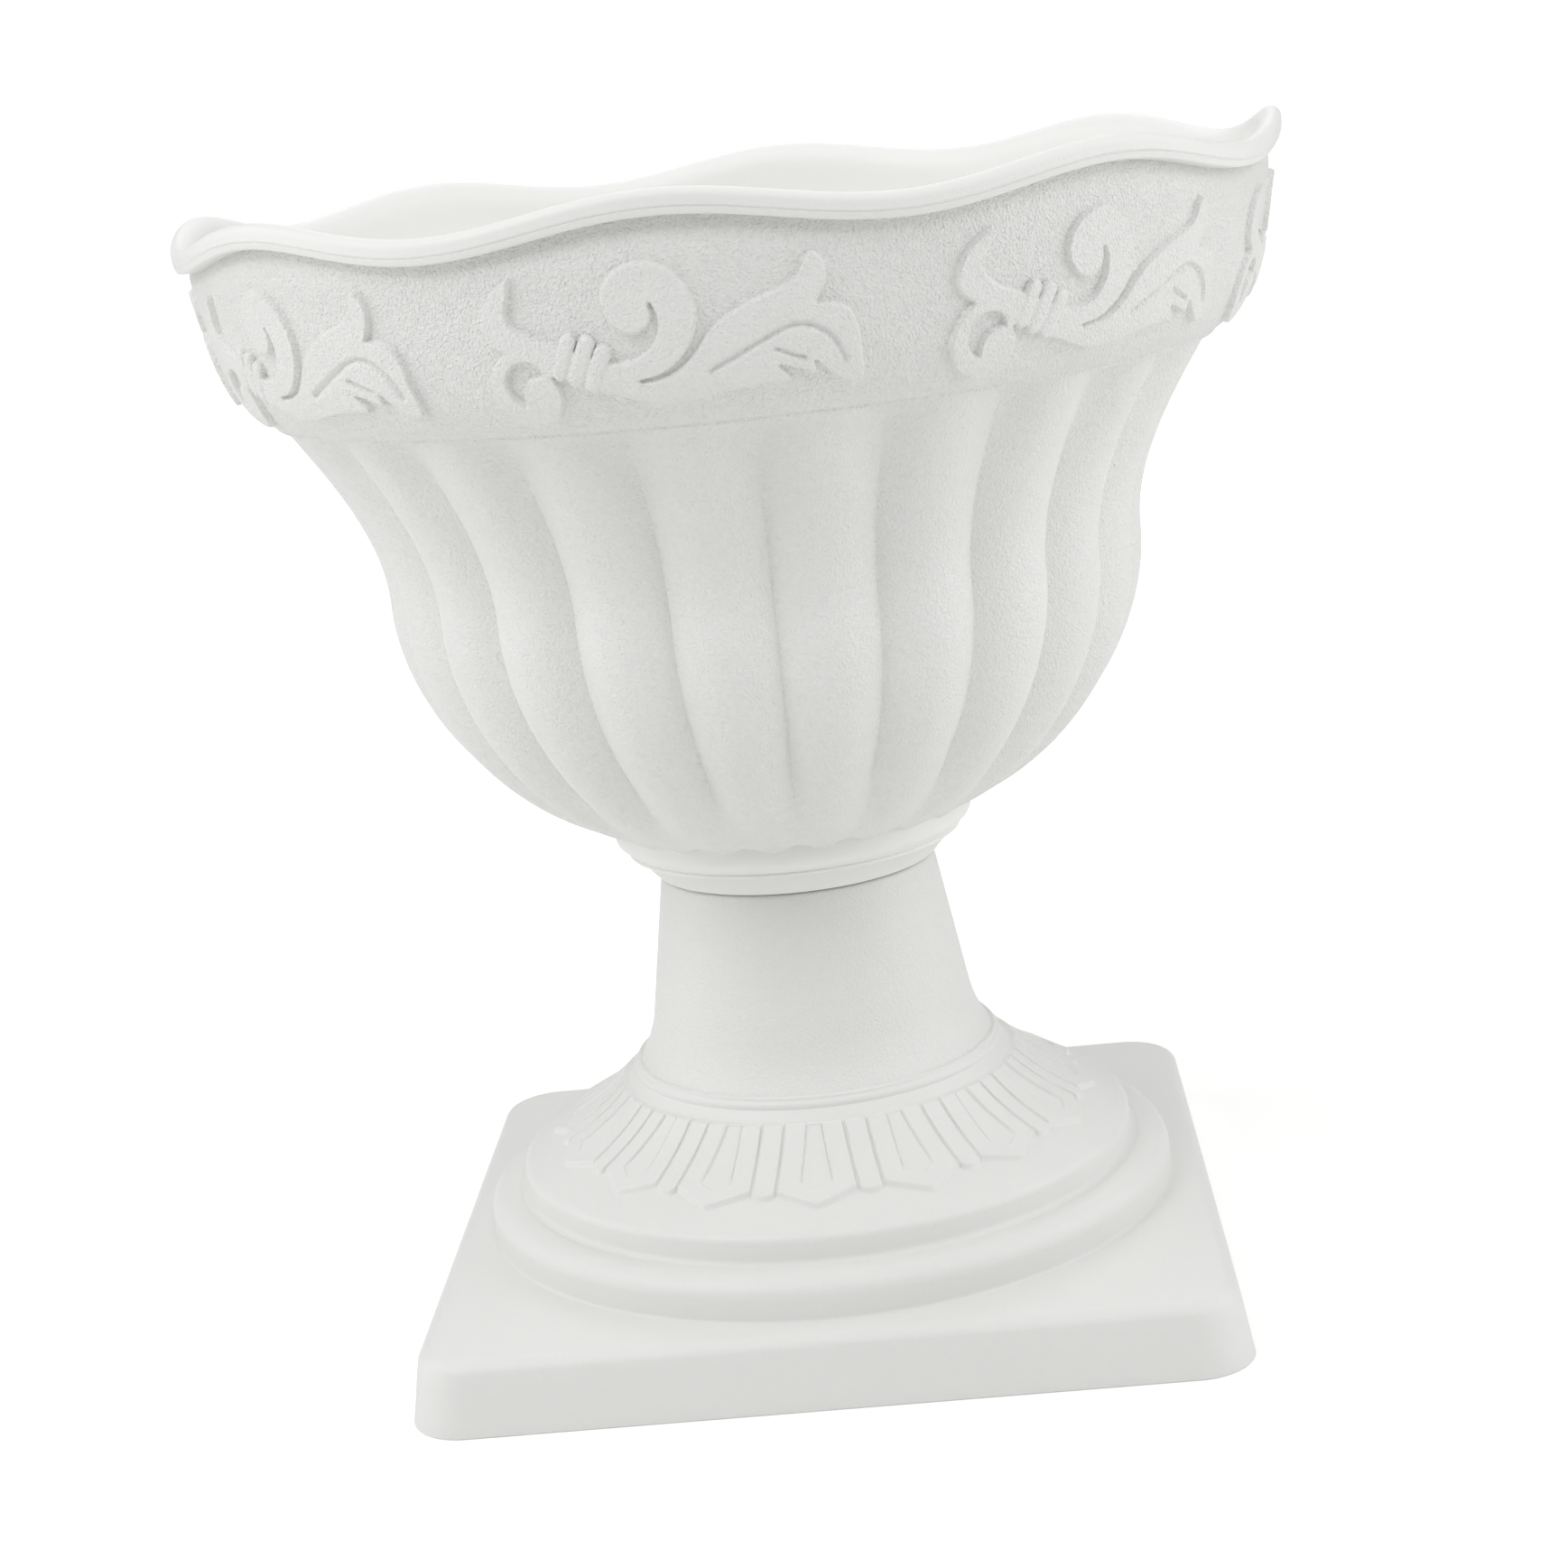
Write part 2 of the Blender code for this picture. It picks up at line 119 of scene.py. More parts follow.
def join(*lines):
    """Put lines end to end as one, leaving out points that repeat the one before."""
    line = np.concatenate([np.asarray(part, float).reshape(-1, 2) for part in lines])
    step = np.hypot(*np.diff(line, axis=0).T)
    return line[np.concatenate([[True], step > SAME_POINT])]


def lengths(line):
    """How far each point is along the line from its start."""
    return np.concatenate([[0.0], np.cumsum(np.hypot(*np.diff(line, axis=0).T))])


def left_of(line):
    """The direction square to the line, to its left, at each point."""
    ahead = np.gradient(line, axis=0)
    ahead /= np.hypot(*ahead.T)[:, None]
    return np.column_stack([-ahead[:, 1], ahead[:, 0]])


def along(line, where, values=None):
    """The points of the line, or values kept for them, at given distances from its start."""
    kept = line if values is None else values
    return np.stack([np.interp(where, lengths(line), part) for part in kept.T], axis=-1)


def smooth(value):
    """Rise from 0 to 1 with level ends: 3v^2 - 2v^3, held at the ends."""
    share = np.clip(value, 0.0, 1.0)
    return share * share * (3.0 - 2.0 * share)


# %% From rings to a mesh
CREASE_ANGLE = 40.0


def put_mesh(name, points, faces, crease=CREASE_ANGLE):
    """An object of points in metres and faces. Edges that turn by more than the crease angle,
    in degrees, stay sharp."""
    mesh = bpy.data.meshes.new(name)
    mesh.from_pydata(points, [], faces)
    mesh.shade_smooth()
    mesh.set_sharp_from_angle(angle=math.radians(crease))
    print(name, "has", sum(len(face) - 2 for face in faces), "triangles")
    return put(name, mesh)


def put_rings(name, rings, angle, grain, closed=True, crease=CREASE_ANGLE):
    """A mesh of rings of (radius, height), one point for each angle of a column.

    A point is (radius cos angle, radius sin angle, height). Each face joins four neighbours of
    the grid, and the last ring joins the first. Where closed, the last column joins the first,
    and otherwise the two ends are capped. The rings run down the outside, so that faces look
    outwards. The grain, from 0 to 1, is kept on the points for the material.
    """
    points = np.stack([rings[..., 0] * np.cos(angle), rings[..., 0] * np.sin(angle),
                       rings[..., 1]], axis=2) * MM
    row_count, column_count = points.shape[:2]
    here = np.arange(row_count * column_count).reshape(row_count, column_count)
    right = np.roll(here, -1, axis=1)
    below = np.roll(here, -1, axis=0)
    below_right = np.roll(right, -1, axis=0)
    quads = np.stack([here, below, below_right, right], axis=2)
    caps = []
    if not closed:
        quads = quads[:, :-1]
        caps = [here[::-1, 0].tolist(), here[:, -1].tolist()]
    piece = put_mesh(name, points.reshape(-1, 3), quads.reshape(-1, 4).tolist() + caps, crease)
    kept = piece.data.attributes.new("grain", "FLOAT", "POINT")
    values = np.broadcast_to(grain, rings.shape[:2]).astype(np.float32)
    kept.data.foreach_set("value", values.ravel())
    return piece


# %% [markdown]
# # The bowl
# The real bowl is one thin moulding. From the top down it has a rounded lip that rises and
# falls in eight slow waves, an upright band with scrolls, 24 swelling lobes with grooves
# between them, a collar on which the lobes end in scallops, and a conical foot whose spigot
# stands in the column. The lobes' crest line is drawn once. Near the band the grooves are soft
# valleys, at the waist they close to a crease, and they run out above the collar.

# %% The bowl's sizes
WALL = 2.4
SEAT = 86.4
LOBES = 24
WAVES = 8
MOTIF_ANGLE = -93.5

RIM_R = 107.98
LIP_CREST = (106.4, 225.1, 0.0)
LIP_SIDE = (RIM_R, 223.4, -90.0)
LIP_INNER = (105.4, 224.85, 34.0)
LIP_BOTTOM = 220.65
LIP_SEAT = 0.6
LIP_LOW_ROUND = 0.5
LIP_LOW_SET = 0.3
PARTING_EDGE = 222.25
PARTING_GROOVE = 221.9
PARTING_DEPTH = 0.3
PARTING_WIDTH = 0.16
FLARE_START = 211.0
FLARE_ANGLE = 72.0
WAVE_RISE = 2.3
WAVE_FADE = 18.0

BAND_LOW = (92.6, 187.2, 23.0)
BAND_HIGH = (104.8, 214.5, 78.0)
BAND_TOP = (104.5, 224.2, 97.0)
BODY_TOP = (91.95, 187.15, 57.5)
BODY_TUCK = (0.4, 0.55)
WAIST = (75.55, 149.2, 91.3)
BELLY = (44.0, 100.66, 27.0)
LOBE_END = (36.7, 96.3, 55.0)
LOWER_PULLS = (0.385, 0.308)
UPPER_PULLS = (0.34, 0.28)

GROOVE_DEPTH = 3.3
GROOVE_TOP_DEPTH = 3.4
GROOVE_START = 4.0
GROOVE_RUN_OUT = 32.0
CREASE_REACH = 2.5
VALLEY_POWER = 1.4
LOBE_START = 1.5
BODY_GRAIN = 0.7
LIP_GRAIN = 0.1
SCALLOP = 3.1

# %% The bowl's lines
band_line = join(sweep(BAND_LOW, BAND_HIGH), sweep(BAND_HIGH, BAND_TOP))
body_line = join(sweep(LOBE_END, BELLY), sweep(BELLY, WAIST, LOWER_PULLS),
                 sweep(WAIST, BODY_TOP, UPPER_PULLS),
                 [(BODY_TOP[0] + BODY_TUCK[0], BODY_TOP[1] + BODY_TUCK[1])])
body_length = lengths(body_line)[-1]
waist_length = np.interp(WAIST[1], body_line[:, 1], lengths(body_line))
print("the crest line of a lobe is", round(body_length, 1), "mm long")

# %% Columns and lobes round the bowl
LOBE_COLUMNS = 20
CROWDING = 0.55

spread = np.linspace(-1.0, 1.0, LOBE_COLUMNS, endpoint=False)
spread = spread + CROWDING * np.sin(np.pi * spread) / np.pi
lobe_number = np.arange(LOBES)[:, None]
lobe_angle = 2.0 * np.pi / LOBES
motif_turn = math.radians(MOTIF_ANGLE)
bowl_angle = ((lobe_number + spread / 2.0) * lobe_angle).ravel() + motif_turn
across = np.tile(np.abs(spread), LOBES)
sharp_crease = across**2
wave = WAVE_RISE * np.cos(WAVES * (bowl_angle - motif_turn))


def valley(share):
    """The depth of a soft groove, 0 on a lobe's crest and 1 midway between two."""
    return ((1.0 - np.cos(np.pi * share)) / 2.0) ** VALLEY_POWER


def waved(height):
    """How much of the lip's wave a point at this height follows, from 0 to 1."""
    return smooth((height - LIP_BOTTOM) / WAVE_FADE + 1.0)


def round_rings(line):
    """Rings of one radius each, which near the lip rise and fall with the wave."""
    line = np.asarray(line, float)
    radius = np.repeat(line[:, :1], bowl_angle.size, axis=1)
    height = line[:, 1:] + waved(line[:, 1:]) * wave
    return np.stack([radius, height], axis=2)


def body_rings(shares, inset=0.0, edge=0.0):
    """Rings of the lobed body, at shares of the crest line from its end at the collar.

    Each column starts at its own edge. A point is set back square to the crest line by the
    inset, plus the groove's depth times its shape: a cosine to a power near the band and the
    collar, and between them a parabola that meets the next one in a crease.
    """
    start = np.broadcast_to(edge, bowl_angle.shape)
    where = start + (body_length - start) * np.asarray(shares)[:, None]
    line = along(body_line, where)
    square = along(body_line, where, left_of(body_line))
    rise = smooth((where - GROOVE_START) / GROOVE_RUN_OUT)
    fall = smooth((where - waist_length) / (body_length - waist_length))
    depth = GROOVE_DEPTH * rise + (GROOVE_TOP_DEPTH - GROOVE_DEPTH) * fall
    softness = 1.0 - rise * (1.0 - fall**CREASE_REACH)
    shape = (1.0 - softness) * sharp_crease + softness * valley(across)
    return line + square * (inset + depth * shape)[..., None]


# %% The lip and the recess behind the band
SKIN_SEAT = 1.0
RECESS_STEPS = 9
RECESS_FOOT = 1.2
LIP_PULLS = (0.39, 0.39)

lip_low = (RIM_R - LIP_LOW_SET - LIP_LOW_ROUND, LIP_BOTTOM + LIP_LOW_ROUND)
lip_face = [(RIM_R, PARTING_EDGE), (RIM_R - PARTING_DEPTH, PARTING_GROOVE),
            (RIM_R - PARTING_DEPTH / 3.0, PARTING_GROOVE - PARTING_WIDTH)]
lip_rings = round_rings(join(
    sweep(LIP_CREST, LIP_SIDE, LIP_PULLS, steps=12),
    lip_face, corner(lip_low, LIP_LOW_ROUND, 0.0, -90.0, steps=5),
    [(BAND_TOP[0] + LIP_SEAT, LIP_BOTTOM), (BAND_TOP[0] - SKIN_SEAT, LIP_BOTTOM)]))

recess_height = np.linspace(LIP_BOTTOM, BAND_LOW[1] + RECESS_FOOT, RECESS_STEPS)[1:, None]
recess_height = recess_height + waved(recess_height) * wave
recess_radius = np.interp(recess_height, band_line[:, 1], band_line[:, 0]) - SKIN_SEAT
recess_rings = np.stack([recess_radius, recess_height], axis=2)

# %% The body, the collar, the foot and the inside
BODY_STEPS = 80
ROW_CROWDING = 1.15
COLLAR_STEPS = 12
COLLAR_LOW = (34.0, 92.0, 45.0)
COLLAR_SIDE = (36.75, 95.2, 90.0)
COLLAR_END = (35.9, 98.2, 120.0)
COLLAR_PULLS = (0.4, 0.4)
COVE_SHADE = 0.6
COLLAR_RIDGE = ((34.35, 91.75), (34.25, 91.3))
FOOT_TOP = (33.1, 91.1)
FOOT_R = 29.0
SPIGOT_R = 25.7
SPIGOT_FOOT = 74.4
FLOOR_TOP = SEAT + WALL
OUTLET_R = 8.0
LEDGE = 93.9
LEDGE_WIDTH = 2.6
BORE_R = 33.6
CHAMFER = 0.3
INNER_SHARES = (0.09, 0.985)
INNER_ROWS = 22
INNER_BAND_ROWS = slice(16, 50, 8)
FLARE_PULLS = (0.5, 0.35)

lobe_edge = LOBE_START + SCALLOP * (valley(across) + sharp_crease) / 2.0
body_shares = np.linspace(0.0, 1.0, BODY_STEPS + 1) ** ROW_CROWDING
outer_body = body_rings(body_shares, edge=lobe_edge)[::-1]

collar_line = join(sweep(COLLAR_LOW, COLLAR_SIDE, COLLAR_PULLS), sweep(COLLAR_SIDE, COLLAR_END))
collar_far = lengths(collar_line)
collar_height = np.clip(outer_body[-1, :, 1] - COVE_SHADE, None, COLLAR_END[1])
collar_top = np.interp(collar_height, collar_line[:, 1], collar_far)
collar_shares = np.linspace(1.0, 0.0, COLLAR_STEPS + 1)[:, None]
collar_rings = along(collar_line, collar_shares * collar_top)

spigot_bore = SPIGOT_R - WALL
under_rings = round_rings([
    *COLLAR_RIDGE, FOOT_TOP, (FOOT_R + CHAMFER / 2.0, SEAT + CHAMFER), (FOOT_R - CHAMFER, SEAT),
    (SPIGOT_R, SEAT), (SPIGOT_R, SPIGOT_FOOT + CHAMFER), (SPIGOT_R - CHAMFER, SPIGOT_FOOT),
    (spigot_bore, SPIGOT_FOOT), (spigot_bore, SEAT), (OUTLET_R, SEAT),
    (OUTLET_R, FLOOR_TOP - CHAMFER), (OUTLET_R + CHAMFER, FLOOR_TOP), (FOOT_R - WALL, FLOOR_TOP),
    (BORE_R - LEDGE_WIDTH, LEDGE), (BORE_R, LEDGE), (BORE_R, BELLY[1] - WALL)])

inner_body = body_rings(np.linspace(*INNER_SHARES, INNER_ROWS), inset=WALL)
inner_line = band_line + WALL * left_of(band_line)
inner_band = round_rings(inner_line[INNER_BAND_ROWS])
flare_foot = (np.interp(FLARE_START, inner_line[:, 1], inner_line[:, 0]), FLARE_START, FLARE_ANGLE)
inner_lip = round_rings(join(sweep(flare_foot, LIP_INNER, FLARE_PULLS, steps=16),
                             sweep(LIP_INNER, LIP_CREST, steps=3))[:-1])

bowl_rings = np.concatenate([lip_rings, recess_rings, outer_body, collar_rings, under_rings,
                             inner_body, inner_band, inner_lip])
# Where the grain value is nothing the material paints the plastic whiter, painted light for the
# inside; on the inner lip this fades out towards the crest
bowl_grain = np.zeros((len(bowl_rings), 1))
bowl_grain[:len(lip_rings), 0] = LIP_GRAIN
bowl_grain[-len(inner_lip):, 0] = LIP_GRAIN * np.linspace(0.0, 1.0, len(inner_lip)) ** 2
body_start = len(lip_rings) + len(recess_rings)
bowl_grain[body_start:body_start + len(outer_body)] = BODY_GRAIN
bowl_shell = put_rings("bowl_shell", bowl_rings, bowl_angle, bowl_grain)

# %% [markdown]
# # The band's scrolls
# Eight copies of one acanthus scroll run round the band, low and flat-topped with steep sides.
# Each could be a curve with a bevel, but then every place where two stems meet would need
# joining. Here the whole band is a fine grid whose points are lifted off the wall: a drawing
# in millimetres gives the outlines, and the distance from the nearest outline gives the
# height, so that sides slope alike everywhere and tips stay sharp. The band is made in eight
# like lengths of one scroll each, so that no mesh grows too heavy.

# %% Outlines of one scroll
# A point is the distance along the band from its middle and the height above the ground. Each
# stroke starts where the one before it ends, and the first one where the last one ends.
HOOK = [[(-27.0, 214.0), (-29.3, 212.0), (-30.8, 209.6), (-31.4, 207.2), (-31.0, 205.2),
         (-29.9, 203.8), (-28.3, 202.8)], [(-30.2, 201.2), (-31.6, 199.0), (-32.2, 196.4),
         (-31.9, 193.9), (-30.5, 191.7), (-28.3, 190.2), (-25.6, 189.6), (-22.9, 189.9),
         (-20.8, 191.3), (-19.6, 193.5), (-19.3, 195.8), (-20.1, 198.0)], [(-17.5, 199.2),
         (-15.6, 201.0), (-16.9, 203.0)], [(-21.1, 204.5), (-24.0, 205.9), (-25.9, 207.6)],
        [(-26.0, 209.2), (-25.5, 210.8), (-24.9, 212.4), (-24.4, 215.2)]]
STEM = [[(-17.9, 203.4)], [(-9.8, 199.9)], [(-7.5, 198.0), (-9.0, 194.6)], [(-13.3, 195.4)],
        [(-19.9, 198.2)], [(-23.0, 202.0)]]
VOLUTE = [[(-1.7, 207.4), (-2.0, 206.0), (-2.8, 204.9), (-4.0, 204.3), (-5.6, 204.1), (-7.3, 204.7),
           (-8.8, 206.1), (-9.7, 207.9), (-10.0, 209.8), (-9.5, 212.0), (-8.3, 213.8),
           (-6.5, 215.2), (-4.2, 216.0), (-1.8, 216.0), (0.6, 215.2), (2.8, 213.5), (4.6, 210.9),
           (5.5, 208.0), (5.4, 205.0), (4.3, 201.9), (2.6, 199.7), (0.2, 197.8), (-2.4, 196.7),
           (-5.1, 196.3)], [(-7.5, 194.9), (-11.5, 196.0)], [(-12.6, 198.3), (-10.0, 199.9)],
          [(-7.8, 199.8), (-5.7, 200.1), (-3.8, 201.0), (-2.4, 202.3), (-1.5, 203.9),
           (-1.15, 205.6), (-1.3, 207.3), (-1.9, 208.9)]]
LEAF = [[(-2.6, 196.5), (0.0, 197.2), (2.0, 198.3), (4.2, 200.2), (6.2, 202.6), (8.2, 204.5),
         (11.2, 206.3), (15.7, 208.3), (20.3, 209.9), (22.4, 211.6), (23.5, 213.9), (24.6, 215.2)],
        [(26.5, 213.2), (27.0, 210.8), (26.4, 208.6), (25.1, 206.4)], [(28.2, 206.0), (30.5, 204.6),
         (31.8, 201.6), (32.3, 197.6), (32.7, 194.4), (32.5, 192.8)], [(30.4, 192.2), (27.4, 193.7),
         (24.3, 196.6)], [(24.4, 195.2), (23.8, 194.4)], [(21.0, 195.6), (18.3, 196.5)],
        [(19.7, 194.9), (20.1, 193.6)], [(14.3, 193.6), (9.5, 193.1), (4.0, 192.2), (-1.9, 191.9),
         (-6.6, 193.0), (-13.3, 195.3)], [(-11.5, 197.5), (-8.0, 198.6), (-5.1, 196.3)]]
EYE_CHANNEL = [[(-25.6, 201.0), (-27.4, 200.2), (-28.6, 198.6), (-28.9, 196.8), (-28.4, 195.2),
                (-27.4, 194.1), (-26.4, 193.8)], [(-26.3, 195.4), (-25.8, 196.8), (-24.8, 197.8),
                (-23.4, 198.2), (-21.9, 198.4)], [(-22.3, 199.8), (-23.6, 200.9)]]
VEIN = [(6.7, 197.0), (10.5, 198.7), (15.2, 200.9), (19.0, 202.6), (22.2, 203.1), (25.2, 202.0),
        (27.4, 200.1), (28.8, 197.7), (29.3, 196.4)]
NICK = [(17.9, 199.4), (20.0, 198.4), (22.4, 197.5)]
TIES = [((-18.8, 198.8), (-16.4, 203.9), 1.4), ((-16.2, 197.6), (-13.4, 203.2), 1.5),
        ((-13.6, 196.5), (-10.9, 201.5), 1.5)]


# %% Distances to the outlines
STROKE_STEPS = 6
NO_LENGTH = 1e-12


def stroke(points):
    """A smooth curve through points: each stretch of it leaves a point in the direction from
    the point before to the point after."""
    line = np.asarray(points, float)
    padded = np.concatenate([2 * line[:1] - line[1:2], line, 2 * line[-1:] - line[-2:-1]])
    before, here, after, beyond = padded[:-3], padded[1:-2], padded[2:-1], padded[3:]
    t = np.linspace(0.0, 1.0, STROKE_STEPS, endpoint=False)[:, None, None]
    curve = (here + t * (after - before) / 2.0
             + t**2 * (before - 2.5 * here + 2.0 * after - beyond / 2.0)
             + t**3 * ((beyond - before) / 2.0 + 1.5 * (here - after)))
    return np.concatenate([curve.transpose(1, 0, 2).reshape(-1, 2), line[-1:]])


def distance_to_line(x, y, line):
    """The distance from each point to the nearest stretch of a line."""
    nearest = np.full(x.shape, np.inf)
    for (ax, ay), (bx, by) in zip(line[:-1], line[1:]):
        dx, dy = bx - ax, by - ay
        share = np.clip(((x - ax) * dx + (y - ay) * dy) / (dx * dx + dy * dy + NO_LENGTH), 0.0, 1.0)
        nearest = np.minimum(nearest, (x - ax - share * dx) ** 2 + (y - ay - share * dy) ** 2)
    return np.sqrt(nearest)


def depth_inside(x, y, line):
    """How far each point is inside a closed line, and less than zero outside it.

    A point is inside where a ray from it crosses the line an odd number of times.
    """
    inside = np.zeros(x.shape, bool)
    for (ax, ay), (bx, by) in zip(line, np.roll(line, -1, axis=0)):
        crosses = (ay > y) != (by > y)
        if ay != by:
            inside ^= crosses & (x < ax + (y - ay) * (bx - ax) / (by - ay))
    near = distance_to_line(x, y, np.concatenate([line, line[:1]]))
    return np.where(inside, near, -near)


def outline(strokes):
    """A closed line of smooth strokes that meet at corners."""
    starts = [points[-1] for points in strokes[-1:] + strokes[:-1]]
    return join(*[stroke([start, *points]) for start, points in zip(starts, strokes)])


# %% Height of the scroll above the band
RELIEF = 1.15
BEVEL = 0.5
TIE_RELIEF = 1.4
TIE_FULLNESS = 3.5
GROOVE_HALF_WIDTH = 0.9
NICK_NARROWING = 0.8
VEIN_DEPTH = 0.75
BAND_MEAN_R = 102.0
MOTIF_LEFT = -32.8
MOTIF_RIGHT = 33.4
MOTIF_COLUMNS = 380
PLAIN_COLUMNS = 20
MOTIF_LOW = 189.0
MOTIF_HIGH = 216.8
HOLLOW_DEPTH = 0.65
HOLLOW_HEIGHT = 2.6
EDGE_RISE = 0.5
EDGE_WIDTH = 0.2
CORNER_ROWS = 12
MOTIF_ROWS = 152
TOP_ROWS = 10
RIM_TUCK = 0.3

motif_angle = 2.0 * np.pi / WAVES
motif_half = BAND_MEAN_R * motif_angle / 2.0
motif_x = np.concatenate([
    np.linspace(-motif_half, MOTIF_LEFT, PLAIN_COLUMNS, endpoint=False),
    np.linspace(MOTIF_LEFT, MOTIF_RIGHT, MOTIF_COLUMNS, endpoint=False),
    np.linspace(MOTIF_RIGHT, motif_half, PLAIN_COLUMNS + 1)])
column_angle = motif_x / BAND_MEAN_R
motif_wave = WAVE_RISE * np.cos(WAVES * column_angle)
low_share = np.linspace(0.0, 1.0, CORNER_ROWS, endpoint=False)
low = BAND_LOW[1] + (MOTIF_LOW - BAND_LOW[1]) * low_share**2
level = np.concatenate([low, np.linspace(MOTIF_LOW, MOTIF_HIGH, MOTIF_ROWS)])
top_share = np.linspace(0.0, 1.0, TOP_ROWS + 1)[1:, None]
band_edge = LIP_BOTTOM + RIM_TUCK + motif_wave
z = np.concatenate([np.repeat(level[:, None], motif_x.size, axis=1),
                    MOTIF_HIGH + (band_edge - MOTIF_HIGH) * top_share])
x = np.broadcast_to(motif_x, z.shape)

raised = np.max([depth_inside(x, z, outline(part)) for part in (HOOK, STEM, VOLUTE, LEAF)], axis=0)
relief = RELIEF * smooth(raised / BEVEL)
channel = depth_inside(x, z, outline(EYE_CHANNEL))
relief *= 1.0 - smooth((channel + BEVEL / 2.0) / BEVEL)
for line, half_width in ((VEIN, GROOVE_HALF_WIDTH), (NICK, GROOVE_HALF_WIDTH * NICK_NARROWING)):
    relief -= VEIN_DEPTH * smooth(1.0 - distance_to_line(x, z, stroke(line)) / half_width)
for start, end, half_width in TIES:
    near = distance_to_line(x, z, np.array([start, end])) / half_width
    bulge = np.clip(1.0 - near**TIE_FULLNESS, 0.0, 1.0) ** (1.0 / TIE_FULLNESS)
    relief = np.maximum(relief, TIE_RELIEF * bulge)
relief = np.maximum(relief, 0.0)
relief += EDGE_RISE * smooth(1.0 - (z - BAND_LOW[1]) / EDGE_WIDTH)
relief -= HOLLOW_DEPTH * smooth(1.0 - (band_edge - z) / HOLLOW_HEIGHT)
print("the scroll covers", round(100.0 * float((relief > RELIEF / 2.0).mean())), "% of the band")

# %% Eight lengths of the band
SKIN_THICKNESS = 0.8
BACK_FOOT = 2.0
BACK_ROWS = 4
UNDER_TUCK = 1.0
GRAIN_ON_RELIEF = 0.75
CAP_CREASE = 75.0

band_far = np.interp(z, band_line[:, 1], lengths(band_line))
band_square = left_of(band_line)
front = (along(band_line, band_far)
         - along(band_line, band_far, band_square) * relief[..., None])
back_line = band_line + SKIN_THICKNESS * band_square
back_end = np.interp(LIP_BOTTOM - WAVE_RISE, back_line[:, 1], lengths(back_line))
back = np.repeat(along(back_line, np.linspace(BACK_FOOT, back_end, BACK_ROWS))[:, None],
                 motif_x.size, axis=1)
under_across = 1.0 - np.abs(((column_angle / lobe_angle) % 1.0) - 0.5) * 2.0
under_radius = BODY_TOP[0] - UNDER_TUCK - GROOVE_TOP_DEPTH * valley(under_across)
under = np.stack([under_radius, np.full(motif_x.size, BAND_LOW[1])], axis=1)
length_rings = np.concatenate([front[::-1], under[None], back])
length_grain = np.concatenate([(1.0 - (1.0 - GRAIN_ON_RELIEF) * smooth(relief / RELIEF))[::-1],
                               np.ones((len(back) + 1, motif_x.size))])
band_lengths = [
    put_rings(f"scroll_band_{number + 1}", length_rings,
              column_angle + motif_turn + number * motif_angle,
              length_grain, closed=False, crease=CAP_CREASE)
    for number in range(WAVES)]

# %% [markdown]
# # The pedestal
# The real pedestal is a second thin moulding, hollow underneath: a tapering column, a bead, a
# concave apron, two round steps and a square plinth with rounded corners. Rings that are round
# at the top and square at the bottom join into one shell. Each ring is a distance from the
# axis for every angle, and for the plinth that distance is the one to a rounded square.

# %% The pedestal's sizes and lines
COLUMN_TOP_R = 28.4
COLUMN_RIM_R = 0.8
PEDESTAL_TOP = 85.9
COLUMN_FOOT = (33.12, 56.0, -79.8)
APRON_FOOT = (60.5, 29.5, -25.6)
APRON_PULLS = (0.385, 0.289)
UPPER_STEP_R = 63.7
UPPER_STEP_FOOT = 22.6
STEP_SIDE = (UPPER_STEP_R, 26.7, -90.0)
STEP_PULLS = (0.42, 0.42)
STEP_FILLET = 1.3
LOWER_STEP_R = 71.5
LOWER_EDGE_R = 4.0
PLINTH_TOP = 14.2
PLINTH_FILLET = 0.7
PLINTH_HALF = 80.6
PLINTH_LEAN = 2.3
PLINTH_CORNER_R = 11.5
PLINTH_EDGE_R = 2.7
PLINTH_WALL = 2.6
PLINTH_FOOT_R = 0.4
BEAD_START = 9.7
BEAD_END = 12.5
BEAD_LINE = ((0.0, 0.0), (0.12, 0.42), (0.35, 0.64), (0.7, 0.7), (1.0, 0.52), (1.25, 0.5),
             (1.7, 0.64), (2.2, 0.56), (2.6, 0.25), (2.8, 0.0))

fillet_r = UPPER_STEP_R + STEP_FILLET
apron_line = sweep(COLUMN_FOOT, APRON_FOOT, APRON_PULLS, steps=160)
apron_far = lengths(apron_line)
apron_length = apron_far[-1]
apron_out = left_of(apron_line)
column_rim = corner((COLUMN_TOP_R - COLUMN_RIM_R, PEDESTAL_TOP - COLUMN_RIM_R),
                    COLUMN_RIM_R, 90.0, 8.0, steps=5)
print("the apron is", round(apron_length, 1), "mm from column to step")

# %% Rings that are round or square
PEDESTAL_COLUMNS = 480
STEP_GRAIN = 0.12
COLUMN_GRAIN = 0.45
SQUARE_CROWDING = 0.6

even = np.arange(PEDESTAL_COLUMNS) * 2.0 * np.pi / PEDESTAL_COLUMNS
pedestal_angle = even + SQUARE_CROWDING * np.sin(4.0 * even) / 4.0


def square_radius(angle, half, corner_radius):
    """Distance from the axis to a rounded square: to its flat side, or near a corner to the
    round one, which is where a ray meets a circle about the corner's own centre."""
    longer = np.maximum(np.abs(np.cos(angle)), np.abs(np.sin(angle)))
    shorter = np.minimum(np.abs(np.cos(angle)), np.abs(np.sin(angle)))
    inner = half - corner_radius
    total = inner * (longer + shorter)
    to_corner = total + np.sqrt(np.maximum(total**2 - 2.0 * inner**2 + corner_radius**2, 0.0))
    return np.where(half * shorter / longer <= inner, half / longer, to_corner)


def turned_rings(line, columns=PEDESTAL_COLUMNS):
    """Rings of one radius each."""
    return np.repeat(np.asarray(line, float)[:, None], columns, axis=1)


